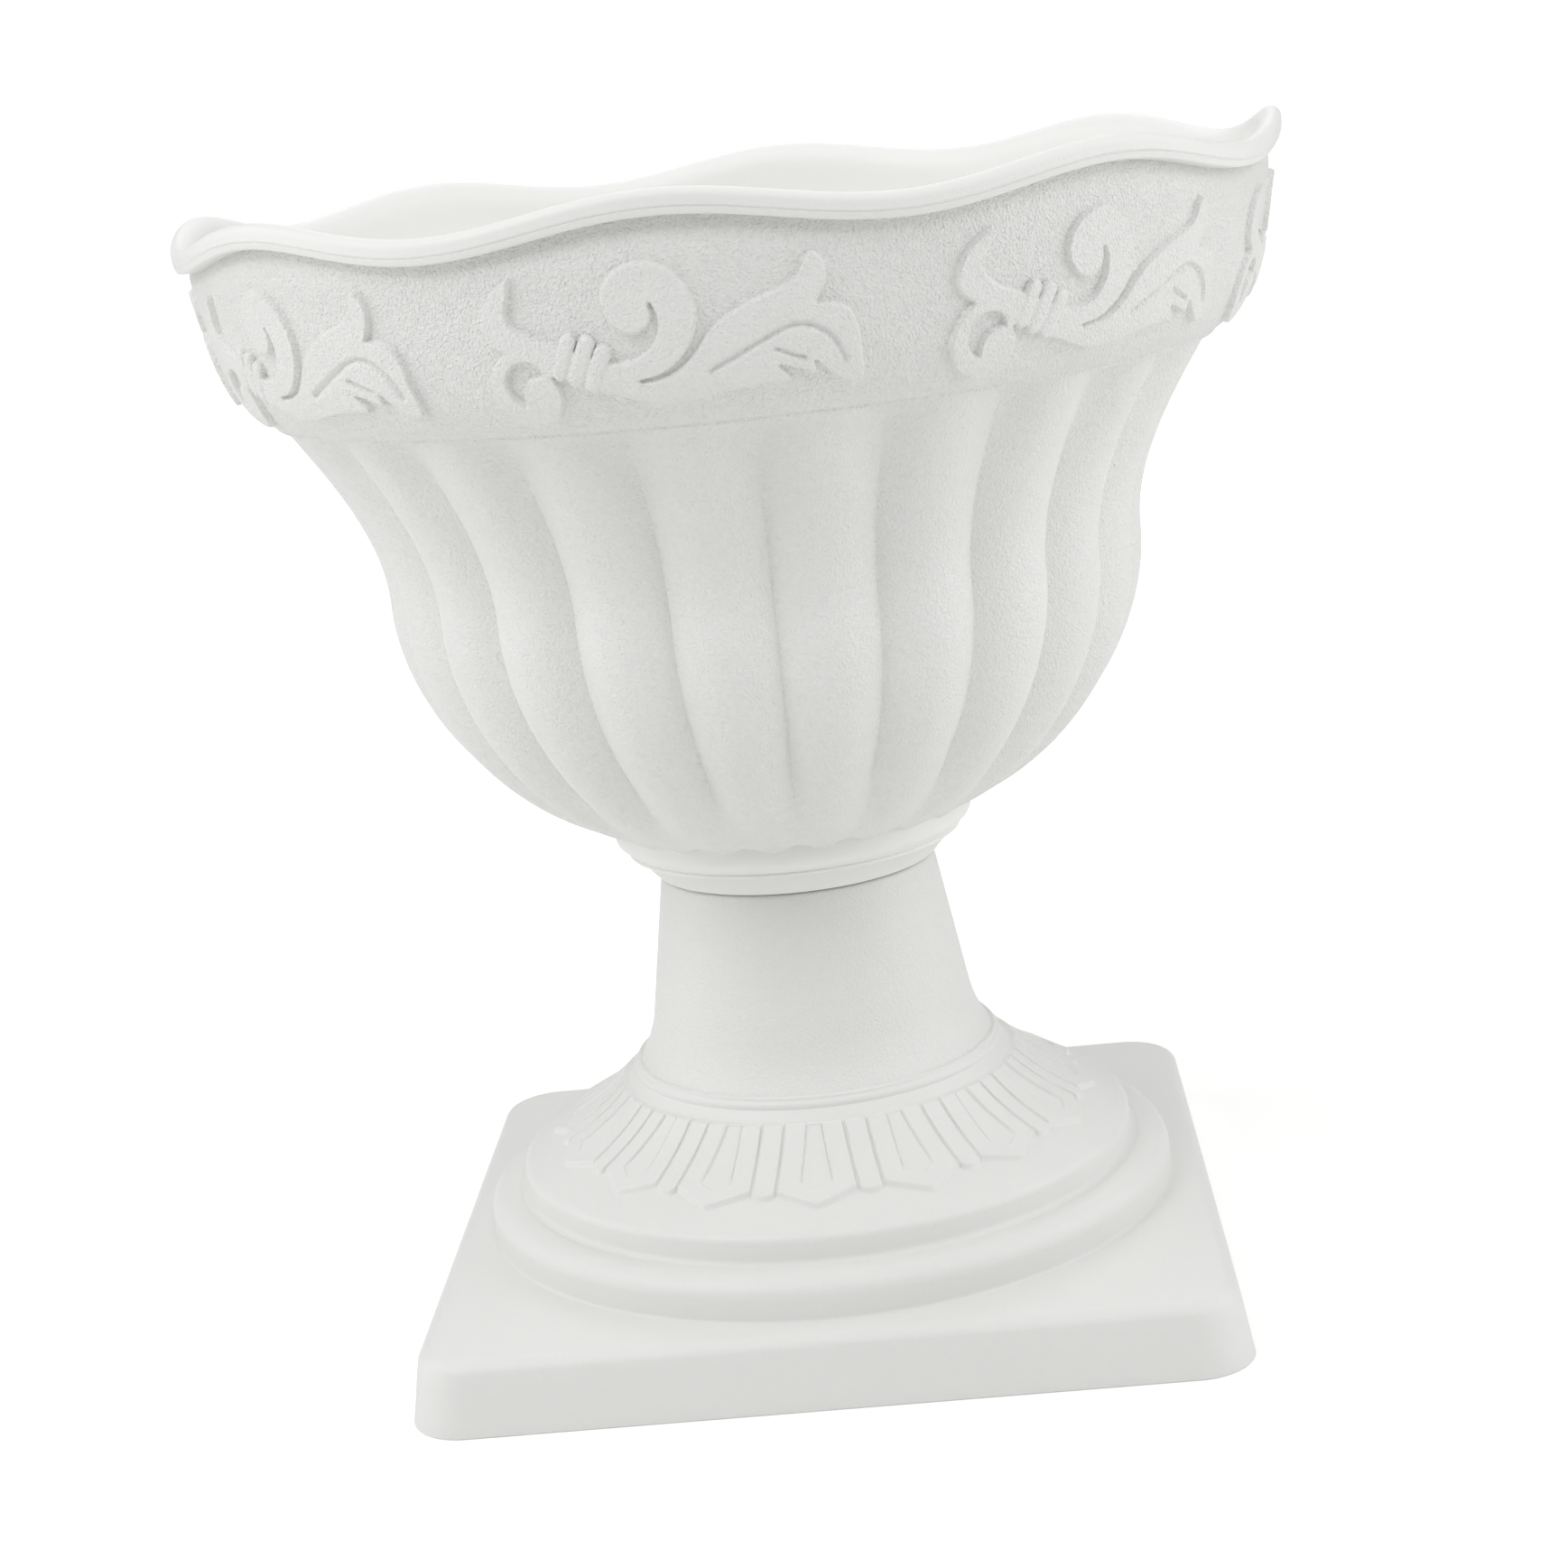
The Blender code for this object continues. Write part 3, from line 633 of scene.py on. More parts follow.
def square_rings(insets, heights):
    """Rings of the plinth: a rounded square that is smaller all round by each inset. The part
    of an inset that is the side's lean doesn't make the corners any sharper."""
    return np.stack([np.column_stack([square_radius(pedestal_angle, PLINTH_HALF - inset,
                                                    PLINTH_CORNER_R - inset + lean),
                                      np.full(PEDESTAL_COLUMNS, height)])
                     for (inset, lean), height in zip(insets, heights)])


# %% The pedestal's shell
COLUMN_STEPS = 24
APRON_STEPS = 12
TREAD_POINTS = 4
DECK_STEPS = 4
EDGE_STEPS = 9
SIDE_STEPS = 5
FOOT_STEPS = 3
INNER_APRON_STRIDE = 20
SOCKET_R = 26.0
SOCKET_FOOT = 72.1
# How far the shell's rings keep from the edges of the apron's skin that hides them
HIDDEN_EDGE = 0.4
HIDDEN_END = 0.5
HIDDEN_DROP = 4.2
HIDDEN_DEPTH = 0.2

column = np.linspace(column_rim[-1], apron_line[0], COLUMN_STEPS)[1:-1]
neck = along(apron_line, np.linspace(0.0, BEAD_START, APRON_STEPS))
bead_along, bead_out = np.array(BEAD_LINE).T
bead_far = BEAD_START + bead_along
bead = (along(apron_line, bead_far)
        + along(apron_line, bead_far, apron_out) * bead_out[:, None])
recess = along(apron_line - SKIN_SEAT * apron_out,
               np.linspace(BEAD_END + HIDDEN_EDGE, apron_length - HIDDEN_END, APRON_STEPS))
step_recess = [(UPPER_STEP_R - SKIN_SEAT, APRON_FOOT[1] - HIDDEN_DROP),
               (UPPER_STEP_R - SKIN_SEAT, UPPER_STEP_FOOT - HIDDEN_DEPTH),
               (fillet_r - HIDDEN_EDGE, UPPER_STEP_FOOT - HIDDEN_DEPTH)]
tread = np.linspace((fillet_r, UPPER_STEP_FOOT),
                    (LOWER_STEP_R - LOWER_EDGE_R, UPPER_STEP_FOOT), TREAD_POINTS)
lower_edge = corner((LOWER_STEP_R - LOWER_EDGE_R, UPPER_STEP_FOOT - LOWER_EDGE_R),
                    LOWER_EDGE_R, 90.0, 0.0, steps=14)
plinth_fillet = corner((LOWER_STEP_R + PLINTH_FILLET, PLINTH_TOP + PLINTH_FILLET),
                       PLINTH_FILLET, 180.0, 270.0, steps=5)
outer_round = turned_rings(join(column_rim, column, neck, bead, recess, step_recess, tread,
                                lower_edge, plinth_fillet))

slope = PLINTH_LEAN / PLINTH_TOP
edge_turn = np.radians(np.linspace(0.0, 90.0 - math.degrees(math.atan(slope)), EDGE_STEPS + 1))
edge_inset = PLINTH_EDGE_R * (1.0 - np.sin(edge_turn))
edge_height = PLINTH_TOP - PLINTH_EDGE_R * (1.0 - np.cos(edge_turn))
edge_lean = slope * edge_height
side_height = np.linspace(edge_height[-1], PLINTH_FOOT_R, SIDE_STEPS + 1)[1:]
foot_turn = np.radians(np.linspace(0.0, 90.0, FOOT_STEPS + 1))[1:]
foot_inset = PLINTH_FOOT_R * (1.0 - np.cos(foot_turn))
foot_height = PLINTH_FOOT_R * (1.0 - np.sin(foot_turn))
insets = ([(i + lean, lean) for i, lean in zip(edge_inset, edge_lean)]
          + [(slope * h, slope * h) for h in side_height]
          + [(i, 0.0) for i in foot_inset])
outer_square = square_rings(insets, np.concatenate([edge_height, side_height, foot_height]))
deck_share = np.linspace(0.0, 1.0, DECK_STEPS + 2)[1:-1, None, None]
deck = outer_round[-1] * (1.0 - deck_share) + outer_square[0] * deck_share

deck_bottom = PLINTH_TOP - WALL
deck_lean = slope * deck_bottom
cavity = square_rings([(PLINTH_WALL, 0.0), (PLINTH_WALL + deck_lean, deck_lean)],
                      [0.0, deck_bottom])
step_bore = LOWER_STEP_R - WALL
ring_bore = UPPER_STEP_R - WALL
inner_apron = (apron_line - WALL * apron_out)[::-INNER_APRON_STRIDE]
inner_round = turned_rings(join(
    [(step_bore, deck_bottom), (step_bore, UPPER_STEP_FOOT - 2.0 * WALL),
     (step_bore - WALL, UPPER_STEP_FOOT - WALL), (ring_bore, UPPER_STEP_FOOT - WALL),
     (ring_bore, APRON_FOOT[1] - 2.0 * WALL)], inner_apron,
    [(SOCKET_R, SOCKET_FOOT), (SOCKET_R, PEDESTAL_TOP - CHAMFER),
     (SOCKET_R + CHAMFER, PEDESTAL_TOP)]))
pedestal_rings = np.concatenate([outer_round, deck, outer_square, cavity, inner_round])
pedestal_grain = np.full((len(pedestal_rings), 1), STEP_GRAIN)
pedestal_grain[:len(column_rim) + len(column) + len(neck)] = COLUMN_GRAIN
pedestal_shell = put_rings("pedestal_shell", pedestal_rings, pedestal_angle, pedestal_grain)

# %% [markdown]
# # The petals on the apron
# Sixteen broad petals with a sunk panel point down the apron, with a narrow dart between each
# two. They stand about a millimetre proud. A plain fine grid would leave their edges ragged,
# so the grid's own lines are bent to follow them: columns gather at the panel's and the
# petal's sides and rows at the petals' tips. The same distances then give the height.

# %% The petals' sizes
# Places are millimetres down the apron from the column. A half is the angle in degrees from
# the middle to the side, at the top and at the low end of the sides.
PETALS = 16
PETAL_ANGLE = -89.8
PETAL_TOP = 15.1
PETAL_SIDE_LOW = 32.5
PETAL_TIP = 36.6
PETAL_HALF = (8.0, 8.55)
PANEL_TOP = 16.2
PANEL_LOW = 29.9
PANEL_TIP = 31.8
PANEL_HALF = (2.1, 3.9)
DART_HALF = (3.1, 2.45)
DART_TIP = 34.0
PETAL_RELIEF = 0.95
PETAL_BEVEL = 0.35
GAP_FLOOR = 0.5
GAP_FADE = 1.2
PETAL_TOP_RAMP = 1.3
PETAL_TIP_RAMP = 1.4
PANEL_DEPTH = 0.35
PANEL_BEVEL = 0.4
LINE_DEPTH = 0.35
LINE_HALF_WIDTH = 0.35
OUTLINE_POINTS = 8

half_period = 180.0 / PETALS


def side_angle(far, half):
    """The angle of a side from the middle of its petal or dart, which changes evenly down."""
    return np.interp(far, (PETAL_TOP, PETAL_SIDE_LOW), half)


def around(far, angle):
    """Millimetres round the apron for an angle in degrees: the radius there times the angle."""
    return np.interp(far, apron_far, apron_line[:, 0]) * np.radians(angle)


def leaf_outline(top, low, half, end):
    """A closed outline: two sides that follow their angles, and the points of its lower end."""
    far = np.linspace(top, low, OUTLINE_POINTS)
    right = np.column_stack([around(far, side_angle(far, half)), far])
    return join(right, end, right[::-1] * (-1.0, 1.0))


dart_turn = np.linspace(0.0, np.pi, OUTLINE_POINTS + 1)[1:-1]
dart_half = around(PETAL_SIDE_LOW, DART_HALF[1])
dart_end = np.column_stack([dart_half * np.cos(dart_turn),
                            PETAL_SIDE_LOW + (DART_TIP - PETAL_SIDE_LOW) * np.sin(dart_turn)])
petal_shape = leaf_outline(PETAL_TOP, PETAL_SIDE_LOW, PETAL_HALF, [(0.0, PETAL_TIP)])
panel_shape = leaf_outline(PANEL_TOP, PANEL_LOW, PANEL_HALF, [(0.0, PANEL_TIP)])
dart_shape = leaf_outline(PETAL_TOP, PETAL_SIDE_LOW, DART_HALF, dart_end)

# %% A grid that follows the petals
COLUMN_COUNTS = (3, 6, 2, 4, 8, 4, 3)
ROW_COUNTS = (2, 10, 9, 12, 3, 22, 5)
BEAD_TUCK = 0.3
TOP_BEFORE = 0.2
TOP_AFTER = 1.8
PANEL_BEFORE = 5.5
PANEL_AFTER = 4.2
TIP_BEFORE = 1.5
TIP_AFTER = 0.5
SIDE_NEAR = 0.5
SIDE_FAR = 1.5


def stretches(knots, counts):
    """Values that run from knot to knot, in the given number of even steps for each stretch."""
    parts = [low + (high - low) * np.linspace(0.0, 1.0, count, endpoint=False)[:, None]
             for low, high, count in zip(knots[:-1], knots[1:], counts)]
    return np.concatenate(parts + [knots[-1][None]])


def column_knots(far):
    """Angles from the middle of a petal to the middle of a dart between which columns are even:
    a little before and after the panel's side, and before and after the petal's side."""
    per_mm = np.degrees(1.0 / np.interp(far, apron_far, apron_line[:, 0]))
    panel = side_angle(far, PANEL_HALF)
    gap = (side_angle(far, PETAL_HALF) + half_period - side_angle(far, DART_HALF)) / 2.0
    near, wide = SIDE_NEAR * per_mm, SIDE_FAR * per_mm
    return np.stack([0.0 * far, panel - near, panel + near, gap - wide, gap - near, gap + near,
                     gap + wide, 0.0 * far + half_period])


def reach(angle):
    """How far down the apron the petals and darts come, at an angle from a petal's middle."""
    petal = PETAL_TIP - (PETAL_TIP - PETAL_SIDE_LOW) * angle / PETAL_HALF[1]
    from_dart = np.clip((half_period - angle) / DART_HALF[1], 0.0, 1.0)
    dart = PETAL_SIDE_LOW + (DART_TIP - PETAL_SIDE_LOW) * np.sqrt(1.0 - from_dart**2)
    return np.where(angle < PETAL_HALF[1], petal, dart)


guide = stretches(column_knots(np.array([PETAL_SIDE_LOW])), COLUMN_COUNTS)[:, 0]
tips = reach(guide)
row_knots = [np.full(guide.shape, far) for far in
             (BEAD_END - BEAD_TUCK, PETAL_TOP - TOP_BEFORE, PETAL_TOP + TOP_AFTER)]
row_knots += [tips - PANEL_BEFORE, tips - PANEL_AFTER, tips - TIP_BEFORE, tips + TIP_AFTER,
              np.full(guide.shape, apron_length)]
half_far = stretches(np.stack(row_knots), ROW_COUNTS)
knots = column_knots(half_far)
stretch = np.append(np.repeat(np.arange(len(COLUMN_COUNTS)), COLUMN_COUNTS),
                    len(COLUMN_COUNTS) - 1)
share = np.append(np.concatenate([np.arange(count) / count for count in COLUMN_COUNTS]), 1.0)
number = np.arange(guide.size)
low_knot = knots[stretch, :, number].T
high_knot = knots[stretch + 1, :, number].T
half_angle = low_knot + (high_knot - low_knot) * share
print("half a petal takes", half_angle.shape, "rows and columns")

# %% The petals' height, and their skin
BACK_STEPS = 5
SKIN_TUCK = 0.3
SKIN_DROP = 4.0

half_across = around(half_far, half_angle)
petal_depth = depth_inside(half_across, half_far, petal_shape)
dart_depth = depth_inside(around(half_far, half_period - half_angle), half_far, dart_shape)
panel_depth = depth_inside(half_across, half_far, panel_shape)
from_top = (half_far - PETAL_TOP) / PETAL_TOP_RAMP
petal_rise = np.minimum(np.minimum(np.maximum(petal_depth, dart_depth) / PETAL_BEVEL, from_top),
                        (reach(half_angle) - half_far) / PETAL_TIP_RAMP)
between = np.minimum((PETAL_SIDE_LOW - half_far) / GAP_FADE, from_top)
petal_relief = PETAL_RELIEF * np.maximum(smooth(petal_rise), GAP_FLOOR * smooth(between))
petal_relief -= PANEL_DEPTH * smooth(panel_depth / PANEL_BEVEL + 0.5)
side_far = around(half_far, half_angle - side_angle(half_far, PANEL_HALF))
side_line = np.minimum((PANEL_LOW - half_far) / GAP_FADE, from_top)
petal_relief -= LINE_DEPTH * smooth(side_line) * smooth(1.0 - np.abs(side_far) / LINE_HALF_WIDTH)
half_front = (along(apron_line, half_far)
              + along(apron_line, half_far, apron_out) * petal_relief[..., None])
whole_front = np.concatenate([half_front[:, :0:-1], half_front[:, :-1]], axis=1)
whole_angle = np.concatenate([-half_angle[:, :0:-1], half_angle[:, :-1]], axis=1)

step_line = join(
    sweep(APRON_FOOT, STEP_SIDE, STEP_PULLS, steps=12),
    corner((fillet_r, UPPER_STEP_FOOT + STEP_FILLET), STEP_FILLET, 180.0, 270.0, steps=6))[1:]
skin_back = apron_line - SKIN_THICKNESS * apron_out
skin_foot = UPPER_STEP_FOOT - SKIN_THICKNESS / 4.0
skin_low = [(fillet_r - SKIN_TUCK, skin_foot), (UPPER_STEP_R - SKIN_THICKNESS, skin_foot),
            (UPPER_STEP_R - SKIN_THICKNESS, APRON_FOOT[1] - SKIN_DROP)]
skin_rest = join(step_line, skin_low,
                 along(skin_back, np.linspace(lengths(skin_back)[-1], BEAD_END, BACK_STEPS)))
petal_rings = np.concatenate([whole_front, turned_rings(skin_rest, whole_front.shape[1])])
petal_degrees = np.concatenate([whole_angle, np.repeat(whole_angle[-1:], len(skin_rest), axis=0)])
petal_turn = np.repeat(np.arange(PETALS) * 2.0 * half_period, whole_front.shape[1])
petal_angle = np.radians(np.tile(petal_degrees, (1, PETALS)) + petal_turn + PETAL_ANGLE)
petal_apron = put_rings("petal_apron", np.tile(petal_rings, (1, PETALS, 1)), petal_angle,
                        STEP_GRAIN)

# %% [markdown]
# # The drain grid and the plug
# The loose grid is a flat disc with rings of round holes. A filled curve cuts such holes
# cleanly: an outer circle, a small circle for each hole, a thickness and a small bevel. The
# plug is soft and turned, with low rings round its handle for the fingers, so it is a profile
# carried round, closed at both ends on the axis.

# %% The drain grid
GRID_R = 33.2
GRID_FOOT = 94.2
GRID_THICKNESS = 2.0
GRID_BEVEL = 0.3
GRID_HOLE_R = 2.0
GRID_RINGS = 3
GRID_RIM = 3.0
GRID_CIRCLE_STEPS = 96
GRID_HOLE_STEPS = 24
HOLES_PER_RING = 6

hole_pitch = (GRID_R - GRID_RIM - GRID_HOLE_R) / GRID_RINGS
drawing = bpy.data.curves.new("drain_grid_plate", "CURVE")
drawing.dimensions = "2D"
drawing.fill_mode = "BOTH"
drawing.extrude = (GRID_THICKNESS / 2.0 - GRID_BEVEL) * MM
drawing.bevel_depth = GRID_BEVEL * MM
drawing.bevel_resolution = 2
drawing.offset = -GRID_BEVEL * MM
drawing.bevel_mode = "ROUND"


def add_circle(curve, centre_x, centre_y, radius, steps):
    """A closed circle of straight steps in a flat curve."""
    turn = np.arange(steps) * 2.0 * np.pi / steps
    spline = curve.splines.new("POLY")
    spline.points.add(steps - 1)
    spline.use_cyclic_u = True
    points = np.column_stack([centre_x + radius * np.cos(turn), centre_y + radius * np.sin(turn),
                              np.zeros(steps), np.full(steps, 1.0 / MM)]) * MM
    spline.points.foreach_set("co", points.ravel())


add_circle(drawing, 0.0, 0.0, GRID_R, GRID_CIRCLE_STEPS)
for ring in range(GRID_RINGS + 1):
    hole_count = max(HOLES_PER_RING * ring, 1)
    for hole in range(hole_count):
        turn = 2.0 * math.pi * hole / hole_count
        add_circle(drawing, ring * hole_pitch * math.cos(turn), ring * hole_pitch * math.sin(turn),
                   GRID_HOLE_R, GRID_HOLE_STEPS)
flat = put("drain_grid_drawing", drawing)
bpy.context.view_layer.update()
plate_mesh = bpy.data.meshes.new_from_object(flat.evaluated_get(
    bpy.context.evaluated_depsgraph_get()))
bpy.data.objects.remove(flat)
plate_mesh.transform(Matrix.Translation((0.0, 0.0, (GRID_FOOT + GRID_THICKNESS / 2.0) * MM)))
plate_mesh.name = "drain_grid_plate"
grid_plate = put("drain_grid_plate", plate_mesh)
print("the grid has", len(plate_mesh.polygons), "faces")

# %% The plug
PLUG_COLUMNS = 96
SHANK_R = 7.7
SHANK_TOP = 88.8
PLUG_SEAT = 86.1
FLANGE_R = 11.5
FLANGE_THICKNESS = 2.0
GRIP_R = 4.5
GRIP_LENGTH = 6.0
PLUG_ROUND = 0.6
GRIP_RINGS = 3
GRIP_RING_DEPTH = 0.35
GRIP_POINTS = 40

grip_top = PLUG_SEAT - FLANGE_THICKNESS
grip_foot = grip_top - GRIP_LENGTH
grip_height = np.linspace(grip_top - PLUG_ROUND, grip_foot + PLUG_ROUND, GRIP_POINTS)
grip_wave = np.cos(2.0 * np.pi * GRIP_RINGS * (grip_height - grip_height[0]) / GRIP_LENGTH)
grip_side = np.column_stack([GRIP_R - GRIP_RING_DEPTH * (1.0 + grip_wave) / 2.0, grip_height])
plug_line = join(
    corner((SHANK_R - PLUG_ROUND, SHANK_TOP - PLUG_ROUND), PLUG_ROUND, 90.0, 0.0, steps=6),
    [(SHANK_R, PLUG_SEAT)],
    corner((FLANGE_R - PLUG_ROUND, PLUG_SEAT - PLUG_ROUND), PLUG_ROUND, 90.0, 0.0, steps=6),
    corner((FLANGE_R - PLUG_ROUND, grip_top + PLUG_ROUND), PLUG_ROUND, 0.0, -90.0, steps=6),
    [(GRIP_R, grip_top)], grip_side,
    corner((GRIP_R - PLUG_ROUND, grip_foot + PLUG_ROUND), PLUG_ROUND, -30.0, -90.0, steps=5))


def put_turned(name, line, columns):
    """A solid of revolution: rings of one radius each, with a fan to a point on the axis at
    the first and at the last."""
    turn = np.arange(columns) * 2.0 * np.pi / columns
    ring = np.stack([line[:, :1] * np.cos(turn), line[:, :1] * np.sin(turn),
                     np.repeat(line[:, 1:], columns, axis=1)], axis=2).reshape(-1, 3)
    poles = [(0.0, 0.0, line[0, 1]), (0.0, 0.0, line[-1, 1])]
    points = np.concatenate([ring, poles]) * MM
    here = np.arange(len(line) * columns).reshape(len(line), columns)
    right = np.roll(here, -1, axis=1)
    quads = np.stack([here[:-1], here[1:], right[1:], right[:-1]], axis=2).reshape(-1, 4)
    top = np.column_stack([np.full(columns, len(ring)), here[0], right[0]])
    foot = np.column_stack([np.full(columns, len(ring) + 1), right[-1], here[-1]])
    return put_mesh(name, points, quads.tolist() + top.tolist() + foot.tolist())


plug_body = put_turned("drain_plug_body", plug_line, PLUG_COLUMNS)

# %% [markdown]
# # Materials
# Both mouldings are white polypropylene. Their moulds were spark-eroded, which leaves a fine
# orange peel on the band and the lobes and a weaker one on the column, while the lip, the steps
# and the inside are nearly smooth. Polypropylene is satin: its gloss is wide and weak. The
# grain is noise worked out from each point's place in metres, so it has one real size on every
# piece, and the grain value kept on the meshes says how strong it is. The bowl's inside was
# moulded against a polished core. Where the grain value falls to nothing the plastic is painted
# whiter: painted light, for the light that comes through the wall and falls on the inside.

# %% Colours and nodes


def colour(code):
    """An sRGB colour such as e9e9e6 as the linear values that a shader takes."""
    parts = [int(code[place:place + 2], 16) / 255.0 for place in (0, 2, 4)]
    linear = [p / 12.92 if p <= 0.04045 else ((p + 0.055) / 1.055) ** 2.4 for p in parts]
    return (*linear, 1.0)


def feed(tree, node, inputs):
    """Give each input of a node its value, or link it to another node's output socket."""
    for name, value in inputs.items():
        if isinstance(value, bpy.types.NodeSocket):
            tree.links.new(value, node.inputs[name])
        else:
            node.inputs[name].default_value = value


def add(tree, kind, inputs=None, **settings):
    """Add a node with its settings and its inputs."""
    node = tree.nodes.new(kind)
    for name, value in settings.items():
        setattr(node, name, value)
    feed(tree, node, inputs or {})
    return node


def noise(tree, place, pitch, detail=2.0, roughness=0.5):
    """Noise between 0 and 1 whose bumps are about one pitch wide, in millimetres."""
    return add(tree, "ShaderNodeTexNoise", {"Vector": place, "Scale": 1.0 / (pitch * MM),
                                            "Detail": detail, "Roughness": roughness}).outputs[0]


def blend(tree, factor, first, second):
    """A colour between two others. A Mix node has its colours in its inputs 6 and 7, and its
    mixed colour in its output 2."""
    return add(tree, "ShaderNodeMix", {"Factor": factor, 6: first, 7: second},
               data_type="RGBA").outputs[2]


def new_material(name):
    """An empty node material with its Principled shader."""
    material = bpy.data.materials.new(name)
    material.use_nodes = True
    return material, material.node_tree, material.node_tree.nodes["Principled BSDF"]


# %% White polypropylene
PEEL_PITCH = 0.5
PEEL_HEIGHT = 0.5
FINE_PITCH = 0.28
FINE_SHARE = 0.3
CLOUD_WIDTH = 28.0
ROUGHNESS_SWING = 0.05
POLYPROPYLENE_IOR = 1.49


def polypropylene(name, light, shade, painted_light_colour, roughness, peel):
    """Injection moulded polypropylene: a satin white with cloudy flow and a moulded grain.

    The clouds are slow differences in how the melt flowed. The peel's hollows are a little
    rougher than its tops, so that the gloss breaks up as it does on an eroded mould. Where the
    grain value is nothing, the colour is painted light: a whiter white for the bowl's inside.
    """
    material, tree, shader = new_material(name)
    place = add(tree, "ShaderNodeTexCoord").outputs["Object"]
    cloud = noise(tree, place, CLOUD_WIDTH, detail=3.0)
    tint = blend(tree, cloud, colour(light), colour(shade))
    coarse = noise(tree, place, PEEL_PITCH, detail=1.0, roughness=0.4)
    fine = noise(tree, place, FINE_PITCH, detail=0.0)
    strength = add(tree, "ShaderNodeAttribute", attribute_name="grain").outputs["Fac"]
    # Painted light: where the grain value falls to nothing the plastic is painted whiter
    painted_light_share = add(tree, "ShaderNodeMapRange", {"Value": strength, "From Max": LIP_GRAIN,
                                             "To Min": 1.0, "To Max": 0.0})
    shown = blend(tree, painted_light_share.outputs[0], tint, colour(painted_light_colour))
    both = add(tree, "ShaderNodeMath", {0: fine, 1: FINE_SHARE, 2: coarse},
               operation="MULTIPLY_ADD")
    height = add(tree, "ShaderNodeMath", {0: both.outputs[0], 1: strength}, operation="MULTIPLY")
    bump = add(tree, "ShaderNodeBump", {"Height": height.outputs[0], "Strength": 1.0,
                                        "Distance": PEEL_HEIGHT * peel * MM})
    rough = add(tree, "ShaderNodeMapRange", {"Value": coarse,
                                             "To Min": roughness + ROUGHNESS_SWING,
                                             "To Max": roughness - ROUGHNESS_SWING})
    feed(tree, shader, {"Base Color": shown, "Roughness": rough.outputs[0],
                        "Normal": bump.outputs[0], "IOR": POLYPROPYLENE_IOR})
    return material


# Painted light and shade: the bowl's white is painted lighter and the pedestal's darker, though
# both are one plastic
eroded = polypropylene("spark_eroded_polypropylene", "f0f0ee", "ededeb", "f4f4f2", 0.45, 1.0)
satin = polypropylene("satin_polypropylene", "e7e7e5", "e4e4e2", "e7e7e5", 0.45, 0.8)
sieve = polypropylene("moulded_grid_polypropylene", "e9e9e6", "e5e5e2", "e9e9e6", 0.42, 0.3)

# %% Grey rubber
RUBBER_BLOOM = 3.0
RUBBER_GRIT = 0.15
RUBBER_GRIT_HEIGHT = 0.015
RUBBER_ROUGHNESS = 0.75

rubber, tree, shader = new_material("moulded_grey_rubber")
place = add(tree, "ShaderNodeTexCoord").outputs["Object"]
bloom = noise(tree, place, RUBBER_BLOOM, detail=4.0)
tint = blend(tree, bloom, colour("6a6a6b"), colour("767677"))
bump = add(tree, "ShaderNodeBump", {"Height": noise(tree, place, RUBBER_GRIT),
                                    "Distance": RUBBER_GRIT_HEIGHT * MM})
feed(tree, shader, {"Base Color": tint, "Normal": bump.outputs[0], "Roughness": RUBBER_ROUGHNESS})

# %% Dress every piece, and let it ride on its body
DRESS = (
    (bowl_shell, eroded, "bowl", "bowl_plastic"),
    *((length, eroded, "bowl", "bowl_plastic") for length in band_lengths),
    (pedestal_shell, satin, "pedestal", "pedestal_plastic"),
    (petal_apron, satin, "pedestal", "pedestal_plastic"),
    (grid_plate, sieve, "drain_grid", "grid_plastic"),
    (plug_body, rubber, "drain_plug", "plug_rubber"),
)
for piece, material, body, slot in DRESS:
    piece.data.materials.clear()
    piece.data.materials.append(material)
    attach(piece, body)
    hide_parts(body)
    print(piece.name, "rides on", body)

# %% [markdown]
# # Floor, light and background
# The pot stands in a white light tent: broad soft light from both sides, from above and from
# behind, and two smaller ones high in front that draw the relief. The background is white
# because the floor and the world show white to the camera, not because more light falls on
# the pot. Close to the pot the floor shows less of its own white, so that the shadow stays.

# %% Floor and world
# Sizes in metres, and strengths of light
FLOOR_SIZE = 12.0
NEAR_GLOW = 0.25
NEAR_DISTANCE = 0.12
FAR_DISTANCE = 0.42
AMBIENT = 0.32

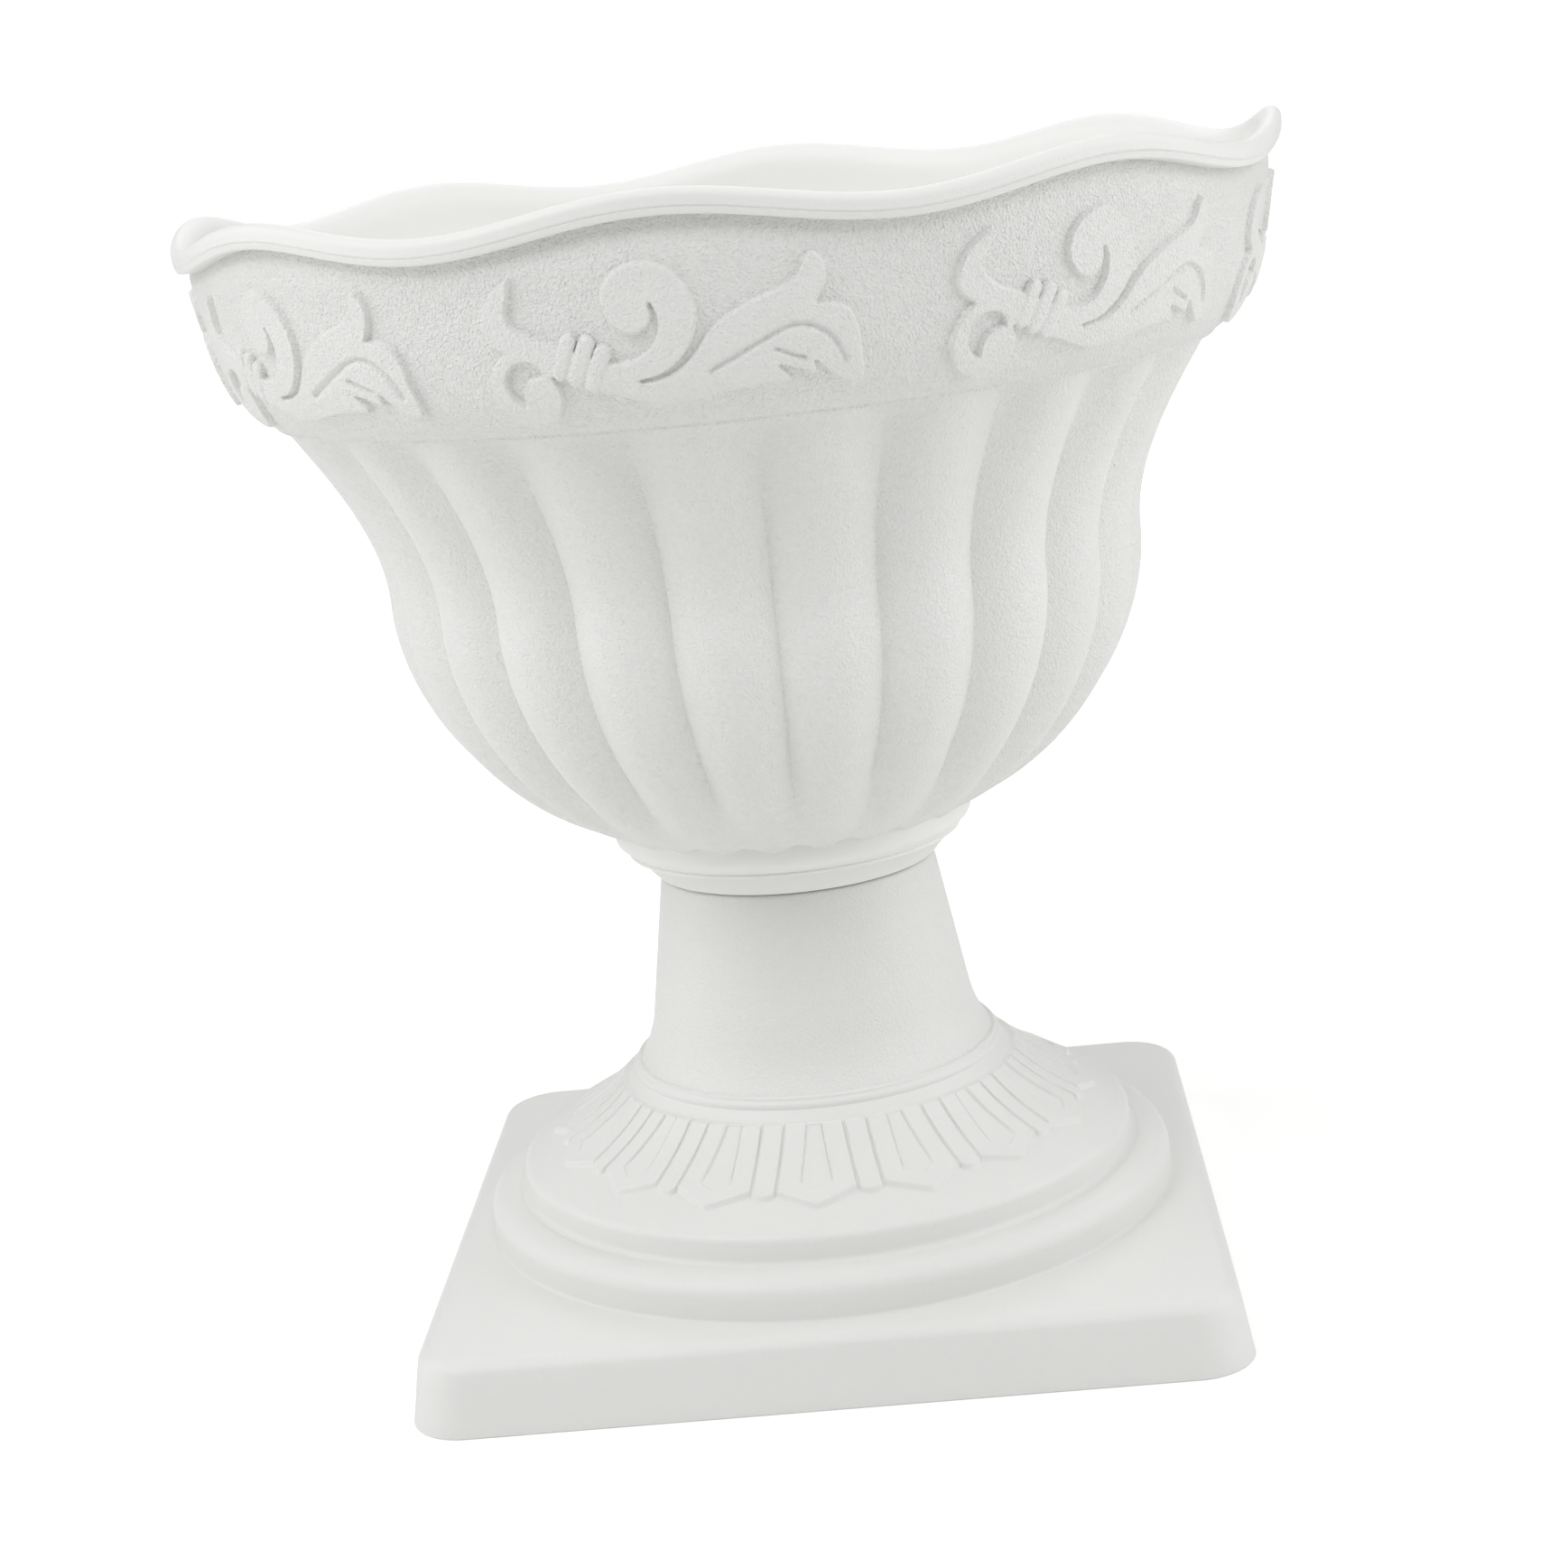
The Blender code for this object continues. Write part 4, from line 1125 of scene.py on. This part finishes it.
bpy.ops.mesh.primitive_plane_add(size=FLOOR_SIZE)
floor = bpy.context.object
floor.name = "studio_floor"
paper, tree, shader = new_material("white_paper")
tree.nodes.remove(shader)
place = add(tree, "ShaderNodeTexCoord").outputs["Object"]
away = add(tree, "ShaderNodeVectorMath", {0: place}, operation="LENGTH")
glow = add(tree, "ShaderNodeMapRange", {"Value": away.outputs["Value"], "From Min": NEAR_DISTANCE,
                                        "From Max": FAR_DISTANCE, "To Min": NEAR_GLOW},
           interpolation_type="SMOOTHSTEP")
seen = add(tree, "ShaderNodeLightPath")
shown = add(tree, "ShaderNodeMath", {0: seen.outputs["Is Camera Ray"], 1: glow.outputs[0]},
            operation="MULTIPLY")
light = add(tree, "ShaderNodeEmission", {"Color": colour("ffffff"), "Strength": shown.outputs[0]})
matt = add(tree, "ShaderNodeBsdfDiffuse", {"Color": colour("f2f2f1")})
whole = add(tree, "ShaderNodeAddShader", {0: matt.outputs[0], 1: light.outputs[0]})
feed(tree, tree.nodes["Material Output"], {"Surface": whole.outputs[0]})
floor.data.materials.append(paper)

world = bpy.data.worlds.new("light_tent")
world.use_nodes = True
bpy.context.scene.world = world
tree = world.node_tree
seen = add(tree, "ShaderNodeLightPath")
looking = add(tree, "ShaderNodeMath", {0: seen.outputs["Is Camera Ray"],
                                       1: seen.outputs["Is Transmission Ray"]},
              operation="MAXIMUM")
strength = add(tree, "ShaderNodeMapRange", {"Value": looking.outputs[0], "To Min": AMBIENT,
                                            "To Max": 1.0})
feed(tree, tree.nodes["Background"], {"Color": colour("ffffff"), "Strength": strength.outputs[0]})

# %% Lamps
# A lamp's name, its place, the height on the axis that it aims at and its side in metres, and
# its power in watts
LAMPS = (
    ("left_wall", (-1.1, -0.1, 0.55), 0.12, 1.3, 6.1),
    ("right_wall", (1.1, -0.1, 0.55), 0.12, 1.3, 7.6),
    ("roof", (-0.1, 0.0, 1.4), 0.1, 1.0, 2.4),
    ("front_left", (-0.7, -0.75, 1.2), 0.12, 0.6, 4.4),
    ("front_top", (0.25, -0.95, 1.25), 0.12, 0.6, 3.0),
    ("back_wall", (0.0, 1.0, 1.0), 0.12, 0.9, 2.8),
)
for name, spot, aim, side, power in LAMPS:
    lamp = bpy.data.lights.new(name, "AREA")
    lamp.shape = "SQUARE"
    lamp.size = side
    lamp.energy = power
    holder = put(name, lamp)
    holder.location = spot
    ray = Vector((0.0, 0.0, aim)) - Vector(spot)
    holder.rotation_euler = ray.to_track_quat("-Z", "Y").to_euler()
bpy.context.scene.view_settings.view_transform = "Standard"
print(len(LAMPS), "lamps")
